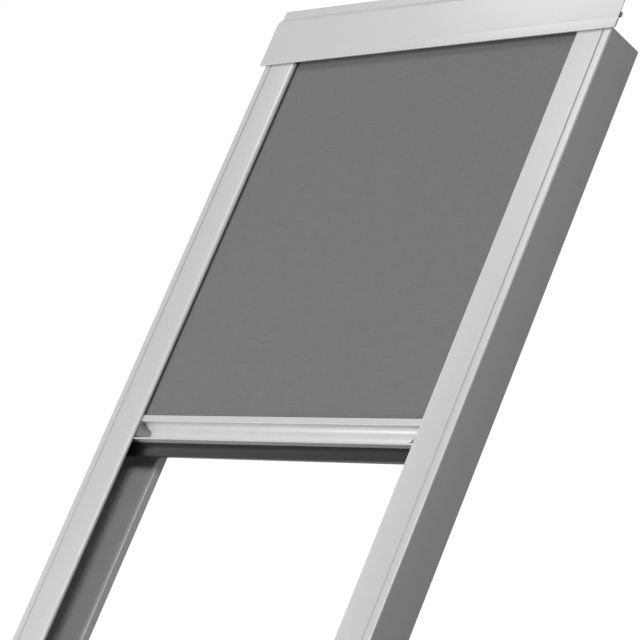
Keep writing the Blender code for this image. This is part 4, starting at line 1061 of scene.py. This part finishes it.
# %% [markdown]
# ## Effects that several finishes share
#
# Metal, rubber and moulded plastic all show soft clouds in their tone, drawn lines along the
# extrusion, brighter worn edges and a little dust on what faces up.  On the aluminium the brighter
# edges are partly a painted highlight, the grip's floor is painted lighter as painted light, and
# the rail's groove and outer side are painted darker as painted shade.  Each effect is a node group
# with named inputs and outputs, built once.  A group only puts out values: the shader itself stays
# in each material, where other tools can read it.  Wear, painted light and painted shade come from
# one mark that each piece carries: above 0 where it is painted lighter, below 0 where it is
# painted darker.

# %% Helpers that build nodes
FLOAT, VECTOR = "NodeSocketFloat", "NodeSocketVector"


def is_socket(value):
    """Whether a value comes from a node."""
    return isinstance(value, bpy.types.NodeSocket)


def plug(socket, value):
    """Links a socket to the value, or sets it."""
    if is_socket(value):
        socket.id_data.links.new(value, socket)
    else:
        socket.default_value = value


def add(tree, kind, options=None, **inputs):
    """Adds a node; inputs are named as its sockets with _ for a space, and are set or linked."""
    node = tree.nodes.new(kind)
    for option, value in (options or {}).items():
        setattr(node, option, value)
    for name, value in inputs.items():
        plug(node.inputs[name.replace("_", " ")], value)
    return node


def add_between(kind, values, options, places=(0, 1, 2)):
    """Adds a node in the tree of its first linked value, with values on its numbered inputs."""
    node = add(next(value.id_data for value in values if is_socket(value)), kind, options)
    for place, value in zip(places, values):
        plug(node.inputs[place], value)
    return node.outputs

# %% Maths, ranges and noise
def maths(operation, *values, clamp=False):
    """A Math node on one, two or three values."""
    return add_between("ShaderNodeMath", values, {"operation": operation, "use_clamp": clamp})[0]


def spread(value, low, high, to_low=0.0, to_high=1.0):
    """Maps low..high to to_low..to_high and stops at both ends."""
    node = add(value.id_data, "ShaderNodeMapRange", Value=value, From_Min=low, From_Max=high,
               To_Min=to_low, To_Max=to_high)
    return node.outputs["Result"]


def noise(vector, size, detail=2.0, roughness=0.5, seed=0.0):
    """A noise value whose spots are about size metres across; seed moves the pattern."""
    shift = (seed, seed * 0.7, seed * 1.3)
    moved = add_between("ShaderNodeVectorMath", (vector, shift), {"operation": "ADD"})[0]
    node = add(vector.id_data, "ShaderNodeTexNoise", Vector=moved, Scale=1.0 / size,
               Detail=detail, Roughness=roughness)
    return node.outputs["Fac"]


def stretched(vector, factors):
    """A vector scaled part by part, which stretches a pattern where the factor is small."""
    return add_between("ShaderNodeVectorMath", (vector, factors), {"operation": "MULTIPLY"})[0]

# %% Begin a group
def new_group(name, outputs, **inputs):
    """An empty shader node group, what it is given (a vector at least) and what it puts out."""
    group = bpy.data.node_groups.new(name, "ShaderNodeTree")
    group.interface.new_socket("Vector", in_out="INPUT", socket_type=VECTOR)
    for socket_name, default in inputs.items():
        kind = VECTOR if isinstance(default, tuple) else FLOAT
        socket = group.interface.new_socket(socket_name, in_out="INPUT", socket_type=kind)
        socket.default_value = default
    for socket_name in outputs:
        group.interface.new_socket(socket_name, in_out="OUTPUT", socket_type=FLOAT)
    given, result = (group.nodes.new(f"NodeGroup{side}") for side in ("Input", "Output"))
    return group, given.outputs, result.inputs

# %% Soft clouds and drawn lines
clouds_group, given, result = new_group("Soft clouds", ["Factor"], Amount=0.03)
large = noise(given["Vector"], 0.22)
small = noise(given["Vector"], 0.035, detail=3.0, seed=4.1)
both = maths("MULTIPLY_ADD", small, 0.4, maths("MULTIPLY", large, 0.6))
swing = maths("MULTIPLY", maths("SUBTRACT", both, 0.5), given["Amount"])
plug(result["Factor"], maths("MULTIPLY_ADD", swing, 2.0, 1.0))

lines_group, given, result = new_group(
    "Drawn lines", ["Height", "Factor"], Stretch=(1.0, 0.01, 1.0), Fineness=0.0006)
scaled = add(lines_group, "ShaderNodeVectorMath", {"operation": "SCALE"},
             Vector=stretched(given["Vector"], given["Stretch"]),
             Scale=maths("DIVIDE", 1.0, given["Fineness"])).outputs[0]
fine = noise(scaled, 1.0)
broad = noise(scaled, 6.0, detail=1.0, seed=2.3)
plug(result["Height"], fine)
plug(result["Factor"], maths("MULTIPLY_ADD", fine, 0.5, maths("MULTIPLY", broad, 0.5)))

# %% Edge wear, painted light and shade, and dust
# The first output paints worn rounds lighter, partly as wear and partly as a painted highlight, and
# the grip's floor lighter as painted light.  The mark below 0 gives the second output: painted
# shade.
wear_and_light_group, given, result = new_group("Edge wear and painted light", ["Mask", "Painted shade"], Patchiness=0.5)
mark = add(wear_and_light_group, "ShaderNodeAttribute", {"attribute_name": "worn"}).outputs["Fac"]
patches = spread(noise(given["Vector"], 0.03, 3.0), 0.4, 0.62)
uneven = maths("MULTIPLY", patches, given["Patchiness"])
rest = maths("SUBTRACT", 1.0, given["Patchiness"])
plug(result["Mask"], maths("MULTIPLY", mark, maths("ADD", uneven, rest)))
plug(result["Painted shade"], maths("MAXIMUM", maths("MULTIPLY", mark, -1.0), 0.0))

dust_group, given, result = new_group("Dust", ["Mask"], Amount=0.2)
normal = add(dust_group, "ShaderNodeNewGeometry").outputs["Normal"]
upward = add(dust_group, "ShaderNodeSeparateXYZ", Vector=normal).outputs["Z"]
facing = spread(upward, 0.3, 0.95)
drift = spread(noise(given["Vector"], 0.06, 5.0, 0.65), 0.35, 0.75)
specks = spread(noise(given["Vector"], 0.0016), 0.45, 0.7)
mottled = maths("MULTIPLY", drift, maths("MULTIPLY_ADD", specks, 0.6, 0.4))
plug(result["Mask"], maths("MULTIPLY", maths("MULTIPLY", facing, mottled), given["Amount"]))

# %% The weave
YARN_PITCH, YARN_WIDTH = 0.00055, 0.0008
weave_group, given, result = new_group(
    "Plain weave", ["Height", "Threads", "Slubs"], Pitch=YARN_PITCH)
way = add(weave_group, "ShaderNodeSeparateXYZ", Vector=given["Vector"]).outputs
turns = [maths("DIVIDE", way[axis], given["Pitch"]) for axis in ("X", "Y")]
waves = [maths("SINE", maths("MULTIPLY", turn, math.pi)) for turn in turns]
crossing = maths("MULTIPLY", *waves)
yarns = [
    maths("MULTIPLY", maths("ABSOLUTE", wave), maths("MULTIPLY_ADD", crossing, lift, 0.65))
    for wave, lift in zip(waves, (0.35, -0.35))]
plug(result["Height"], maths("MAXIMUM", *yarns))
weft_tone = noise(stretched(given["Vector"], (1.0, 0.02, 1.0)), YARN_WIDTH)
warp_tone = noise(stretched(given["Vector"], (0.02, 1.0, 1.0)), YARN_WIDTH, seed=1.7)
plug(result["Threads"],
     maths("MULTIPLY_ADD", weft_tone, 0.6, maths("MULTIPLY", warp_tone, 0.4)))
weft_slub = noise(stretched(given["Vector"], (1.0, 0.05, 1.0)), 0.0014, 1.0, seed=3.3)
warp_slub = noise(stretched(given["Vector"], (0.08, 1.0, 1.0)), 0.0013, 1.0, seed=5.9)
plug(result["Slubs"], maths("ADD", spread(weft_slub, 0.62, 0.8),
                            spread(warp_slub, 0.66, 0.82, 0.0, 0.6)))
print("shared effects:", ", ".join(group.name for group in bpy.data.node_groups))

# %% [markdown]
# ## The satin aluminium
#
# Rails, cover and bar are satin anodised, silver grey.  The finish looks nearly matt from the
# front, with a broad soft sheen towards the light.  A mirror-like metal shader would show the
# white studio everywhere, so most of the light is scattered here, and a strong rough reflection
# on top gives the sheen.  The drawn lines run along each extrusion: along Y on the rails and along
# X on the cover and the bar, which is why the finish is built twice with another stretch.

# %% Helpers that build a finish
def mixed(factor, first, second, blend="MIX"):
    """A colour mix; first and second are colours, values or sockets."""
    options = {"data_type": "RGBA", "blend_type": blend}
    return add_between("ShaderNodeMix", (factor, first, second), options, (0, 6, 7))[2]


def times(colour, factor):
    """A colour multiplied by a factor, part by part."""
    return mixed(1.0, colour, factor, "MULTIPLY")


def grey(value, tint=(1.0, 1.0, 1.0)):
    """A grey times a tint, part by part."""
    return (value * tint[0], value * tint[1], value * tint[2], 1.0)


def effect(group, vector, **inputs):
    """Places a node group in a material, and gives its outputs."""
    return add(vector.id_data, "ShaderNodeGroup", {"node_tree": group}, Vector=vector,
               **inputs).outputs


def bump(shader, height, strength, distance):
    """Tilts the shader's normal by a height, whose full range stands for a distance."""
    node = add(height.id_data, "ShaderNodeBump", Height=height, Strength=strength,
               Distance=distance)
    plug(shader["Normal"], node.outputs["Normal"])


def new_finish(name, specular=0.5, metallic=0.0):
    """A material, its shader's inputs and its object coordinates."""
    material = bpy.data.materials.new(name)
    material.use_nodes = True
    shader = material.node_tree.nodes["Principled BSDF"].inputs
    shader["Specular IOR Level"].default_value = specular
    shader["Metallic"].default_value = metallic
    return material, shader, add(material.node_tree, "ShaderNodeTexCoord").outputs["Object"]

# %% Build the aluminium finishes
DUST = grey(0.42, (1.0, 0.97, 0.92))
# How much lighter the worn rounds and the grip's floor are painted (wear, painted highlight and
# painted light), and how much darker the groove and the rail's outer side (painted shade).
WORN_AND_LIT_SHARE, WORN_AND_LIT_GAIN, WORN_POLISH = 0.7, 1.35, 0.06
PAINTED_SHADE_SHARE, PAINTED_SHADE_GAIN, DUST_ROUGHNESS = 0.55, 0.25, 0.25
LINE_FINENESS, LINE_HEIGHT, LINE_TONES = 0.0005, 0.00004, (0.985, 1.015)


def satin_metal(name, tone, stretch, roughness, dusty, metallic, specular=0.5, line_depth=0.3):
    """Tone * clouds * lines, lighter with wear and painted light, darker with painted shade, dusty
    where it faces up.
    """
    material, shader, place = new_finish(name, specular, metallic)
    clouds = effect(clouds_group, place, Amount=0.035)["Factor"]
    lines = effect(lines_group, place, Stretch=stretch, Fineness=LINE_FINENESS)
    wear = effect(wear_and_light_group, place, Patchiness=0.25)
    dust = effect(dust_group, place, Amount=dusty)["Mask"]
    # Worn rounds get lighter, partly as wear and partly as a painted highlight, and the grip's floor
    # as painted light; the groove and the outer side get darker as painted shade.
    worn = maths("MULTIPLY", wear["Mask"], WORN_AND_LIT_SHARE)
    painted_shade = maths("MULTIPLY", wear["Painted shade"], PAINTED_SHADE_SHARE)
    toned = times(times(grey(tone), clouds), spread(lines["Factor"], 0.3, 0.7, *LINE_TONES))
    toned = mixed(worn, toned, grey(min(1.0, tone * WORN_AND_LIT_GAIN)))
    toned = mixed(painted_shade, toned, grey(tone * PAINTED_SHADE_GAIN))
    plug(shader["Base Color"], mixed(dust, toned, DUST))
    rough = maths("MULTIPLY_ADD", dust, DUST_ROUGHNESS, roughness)
    rough = maths("MULTIPLY_ADD", wear["Mask"], -WORN_POLISH, rough)
    plug(shader["Roughness"], maths("MULTIPLY", rough, clouds))
    bump(shader, lines["Height"], line_depth, LINE_HEIGHT)
    return material


ALONG_Y, ALONG_X, EVEN = (1.0, 0.004, 1.0), (0.004, 1.0, 1.0), (1.0, 1.0, 1.0)
rail_finish, cover_finish = (
    satin_metal(name, 0.54, stretch, 0.44, 0.05, metallic=0.07, specular=0.8, line_depth=0.10)
    for name, stretch in (("satin rail", ALONG_Y), ("satin cover and bar", ALONG_X)))
mill_finish = satin_metal("mill sheet", 0.42, ALONG_X, 0.38, 0.08, metallic=0.6)
bracket_finish = satin_metal("cast bracket", 0.40, EVEN, 0.5, 0.08, metallic=0.4)

# %% [markdown]
# ## Zinc, plastic and rubber
#
# Zinc plating on steel has faint crystals of different tone, which a Voronoi pattern gives.
# Moulded plastic has a fine even grain from its mould.  Rubber is nearly black and rough,
# and greys a little where dust sits.  Pictures of real surfaces could give all this, but each small
# shape would need a map for them, and patterns in object coordinates need none.  The bar's seal is
# smoother: in the photo it is deep black where it mirrors nothing and dark grey where it mirrors
# the pale ground.

# %% Build the small parts' finishes
CRYSTALS_PER_METRE = 900.0
MOULDED_WEAR, MOULDED_GAIN, GRAIN_STRENGTH = 0.25, 1.8, 0.5


def zinc_finish():
    """Tone * crystals, lighter where it is worn, with a roughness that drifts."""
    material, shader, place = new_finish("zinc plated steel", metallic=0.8)
    crystals = add(place.id_data, "ShaderNodeTexVoronoi", Vector=place,
                   Scale=CRYSTALS_PER_METRE).outputs
    tone = spread(crystals["Distance"], 0.0, 0.6, 0.9, 1.05)
    worn = maths("MULTIPLY", effect(wear_and_light_group, place, Patchiness=0.7)["Mask"], 0.5)
    plug(shader["Base Color"], mixed(worn, times(grey(0.5, (1.0, 0.99, 0.95)), tone), grey(0.7)))
    plug(shader["Roughness"], spread(noise(place, 0.004, 3.0), 0.3, 0.7, 0.28, 0.48))
    return material


def moulded_finish(name, tone, tint, roughness, grain, grain_depth, dusty=0.10, specular=0.5):
    """Plastic or rubber: clouds in the tone, a fine mould grain in the bump, some dust."""
    material, shader, place = new_finish(name, specular)
    clouds = effect(clouds_group, place, Amount=0.06)["Factor"]
    dust = effect(dust_group, place, Amount=dusty)["Mask"]
    worn = maths("MULTIPLY", effect(wear_and_light_group, place, Patchiness=0.8)["Mask"], MOULDED_WEAR)
    toned = mixed(worn, times(grey(tone, tint), clouds), grey(min(1.0, tone * MOULDED_GAIN)))
    plug(shader["Base Color"], mixed(dust, toned, DUST))
    plug(shader["Roughness"], maths("MULTIPLY", clouds, roughness))
    bump(shader, noise(place, grain, 3.0), GRAIN_STRENGTH, grain_depth)
    return material


BLACK, IVORY, COOL = (1.0, 1.0, 1.02), (1.0, 0.985, 0.95), (1.0, 1.0, 1.03)
steel_finish = zinc_finish()
plastic_finish = moulded_finish("grey moulding", 0.17, COOL, 0.5, 0.0006, 0.00006)
bearing_finish = moulded_finish("bearing moulding", 0.62, IVORY, 0.4, 0.002, 0.00002)
rubber_finish = moulded_finish("black rubber", 0.016, BLACK, 0.7, 0.0009, 0.00004)
# The edge seal's rubber is painted lighter than the black rubber: painted light that softens the
# shade in the gap under the lip.
lightened_edge_finish = moulded_finish("edge seal", 0.10, BLACK, 0.7, 0.0009, 0.00004)
gloss_finish = moulded_finish("glossy seal", 0.003, BLACK, 0.26, 0.004, 0.00001, dusty=0.02,
                              specular=0.42)

# %% [markdown]
# ## The screen cloth
#
# The fabric is a flat weave of coated yarn, about 18 threads to the centimetre.  Real threads would
# need millions of faces, so the weave is in the finish: its height where one thread passes over
# another, each thread's own tone, and the slubs, short thick places that show as faint dashes
# along and across the cloth.  It reads the cloth's own map in metres, so the weave keeps its size
# on the roll and on the flat sheet alike.

# %% Build the cloth's finish
def cloth_finish():
    """Tone * clouds * threads * depth of the weave, the depth as painted shade between the threads,
    lighter on the slubs.
    """
    material, shader, place = new_finish("woven screen", specular=0.3)
    cloth_way = add(place.id_data, "ShaderNodeUVMap", {"uv_map": "Surface"}).outputs["UV"]
    weave = effect(weave_group, cloth_way, Pitch=YARN_PITCH)
    clouds = effect(clouds_group, place, Amount=0.03)["Factor"]
    toned = times(grey(0.178, (1.0, 1.0, 0.995)), clouds)
    toned = times(toned, spread(weave["Threads"], 0.35, 0.65, 0.93, 1.07))
    # Painted shade: the cloth is darker where the weave is low, between the threads.
    toned = times(toned, spread(weave["Height"], 0.15, 0.6, 0.72, 1.0))
    slubs = maths("MULTIPLY", weave["Slubs"], 0.30, clamp=True)
    plug(shader["Base Color"], mixed(slubs, toned, grey(0.27)))
    shader["Roughness"].default_value = 0.85
    bump(shader, weave["Height"], 0.35, 0.00012)
    return material


woven_finish = cloth_finish()

# %% [markdown]
# ## Which piece has which finish
#
# Each new piece gets one finish, and the table names the record's slot that the finish comes from.
# Everything that turns rides on the roller, everything that slides rides on the bar, and the rest
# rides on the frame.  The cloth is blended already, so it rides on nothing.  This could be said
# where each piece is made, but one table shows the whole blind at a glance.  A star in it stands
# for both sides.

# %% Give the finishes and let the pieces ride
FRAME, ROLLER, BAR = "frame", "roller", "bar"
OUTFIT = [
    (rail_finish, "satin_aluminium", FRAME, "*_rail"),
    (cover_finish, "satin_aluminium", FRAME, "cover"),
    (cover_finish, "satin_aluminium", BAR, "grip_bar"),
    (lightened_edge_finish, "black_rubber", FRAME, "*_lip_seal"),
    (rubber_finish, "black_rubber", FRAME, "*_rubber_stop"),
    (gloss_finish, "black_rubber", BAR, "weather_seal"),
    (woven_finish, "screen_fabric", ROLLER, "cloth_roll"),
    (woven_finish, "screen_fabric", None, "screen_cloth"),
    (mill_finish, "mill_aluminium", ROLLER, "winding_tube"),
    (mill_finish, "mill_aluminium", FRAME, "back_sheet"),
    (bracket_finish, "mill_aluminium", FRAME, "*_end_bracket"),
    (plastic_finish, "grey_plastic", ROLLER, "plug_with_pin plug_on_shaft"),
    (plastic_finish, "grey_plastic", FRAME, "*_foot_cap"),
    (plastic_finish, "grey_plastic", BAR, "hem_rod *_bar_cap"),
    (bearing_finish, "bearing_plastic", FRAME, "bush_in_bracket shaft_bush"),
    (bearing_finish, "bearing_plastic", BAR, "*_slider"),
    (steel_finish, "zinc_steel", FRAME, "fixed_shaft spring_collar coil_spring"),
    (steel_finish, "zinc_steel", FRAME, "*_foot_screw *_tongue_screw_1 *_tongue_screw_2"),
    (steel_finish, "zinc_steel", BAR, "*_brake_strip *_cap_screw"),
]
dressed = 0
for finish, slot, body, names in OUTFIT:
    for name in sorted({name.replace("*", label) for name in names.split() for label in SIDES}):
        piece = pieces[name]
        piece.data.materials.clear()
        piece.data.materials.append(finish)
        if body:
            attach(piece, body)
        dressed += 1
print(dressed, "of", len(pieces), "pieces dressed, for", len(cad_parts), "nodes")

# %% [markdown]
# ## Light
#
# The photo has soft light from many sides: its shadows are short and pale, and the sheen of the
# aluminium drifts from the cover's right end to the rail's lower left.  One large lamp could give
# such a sheen, but it would leave the hollows on its far side too dark.  So there are four lamps.
# Two hang over the blind and lean to either side.  The left one leaves the left rail's
# channel in the shade of the rail's own face, and the right one reaches its floor under the lip,
# so the channel is evenly grey, as in the photo.  One lamp up the slope gives the sheen on the
# cover, and one low at the left lights what faces down the slope.
#
# A lamp's power in watts says little about how bright a surface gets, so each lamp is given the
# level that a white surface facing it would show.  The power is level * pi^2 * distance^2.

# %% Set the lamps
LAMP_SIZE = 0.9
LAMPS = {
    "Overhead left": ((-0.42, -0.44, 0.82), 3.0, 0.48),
    "Overhead right": ((0.54, 0.06, 0.80), 3.0, 0.44),
    "Highlight": ((-0.390, 0.682, 0.617), 3.1, 0.24),
    "Low left": ((-0.50, -0.80, 0.24), 3.0, 0.20),
}
target = Vector((0.0, 0.0, FACE_Z))
for name, (direction, distance, level) in LAMPS.items():
    data = bpy.data.lights.new(name, "AREA")
    data.shape = "RECTANGLE"
    data.size = data.size_y = LAMP_SIZE
    data.energy = level * math.pi ** 2 * distance ** 2
    away = Vector(direction).normalized()
    turn = away.to_track_quat("Z", "Y").to_matrix().to_4x4()
    in_scene(name, data).matrix_world = Matrix.Translation(target + away * distance) @ turn

# %% [markdown]
# ## World and floor
#
# The photo's background is pure white, but a white room would also light every hollow of the
# blind.  So the world shows white only to the camera and to reflections, and gives the surfaces a
# low even light, a little cool, as the photo's shaded sides are.  The floor does the same: it adds
# white for the camera, and its own grey surface still takes the blind's shadow.  It lies well
# below, as the ground does below a roof, and throws little light back up.

# %% Build the world and the floor
AMBIENT = grey(0.08, (0.94, 0.99, 1.06))
FLOOR_DROP, FLOOR_SIZE, FLOOR_WHITE = 1.0, 60.0, 0.97
FLOOR_GREY = (0.12, 0.13)


def seen_white(tree):
    """1 for camera, glossy and transmission rays, else 0."""
    rays = add(tree, "ShaderNodeLightPath").outputs
    mask = maths("MAXIMUM", rays["Is Camera Ray"], rays["Is Glossy Ray"])
    return maths("MAXIMUM", mask, rays["Is Transmission Ray"])


world = bpy.data.worlds.new("Studio")
world.use_nodes = True
bpy.context.scene.world = world
backdrop = world.node_tree.nodes["Background"]
plug(backdrop.inputs["Color"], mixed(seen_white(world.node_tree), AMBIENT, grey(1.0)))

floor_material, surface, place = new_finish("plain floor", specular=0.0)
plug(surface["Base Color"], spread(noise(place, 0.01, 3.0), 0.3, 0.7, *FLOOR_GREY))
surface["Roughness"].default_value = 1.0
tree = floor_material.node_tree
white_level = maths("MULTIPLY", seen_white(tree), FLOOR_WHITE)
glow = add(tree, "ShaderNodeEmission", Strength=white_level)
parts = (tree.nodes["Principled BSDF"].outputs[0], glow.outputs[0])
plug(tree.nodes["Material Output"].inputs["Surface"],
     add_between("ShaderNodeAddShader", parts, {})[0])

half, floor_z = FLOOR_SIZE / 2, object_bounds()[0].z - FLOOR_DROP
floor_corners = [(x * half, y * half, floor_z) for x, y in ((-1, -1), (1, -1), (1, 1), (-1, 1))]
floor_mesh = bpy.data.meshes.new("Floor")
floor_mesh.from_pydata(floor_corners, [], [(0, 1, 2, 3)])
floor_mesh.materials.append(floor_material)
in_scene("Floor", floor_mesh)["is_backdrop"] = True
bpy.context.scene.view_settings.view_transform = "Standard"

# %% [markdown]
# ## Sizes and finish
#
# The dressed blind has to fill the same box as the solids.  Both boxes are written down, so they
# can be compared after each render.

# %% Write the sizes and finish
bpy.context.view_layer.update()
dressed_box = [list(corner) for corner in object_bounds()]
for name, pair in (("solids", solids_box), ("dressed", dressed_box)):
    print(name, [round(high - low, 4) for low, high in zip(*pair)])
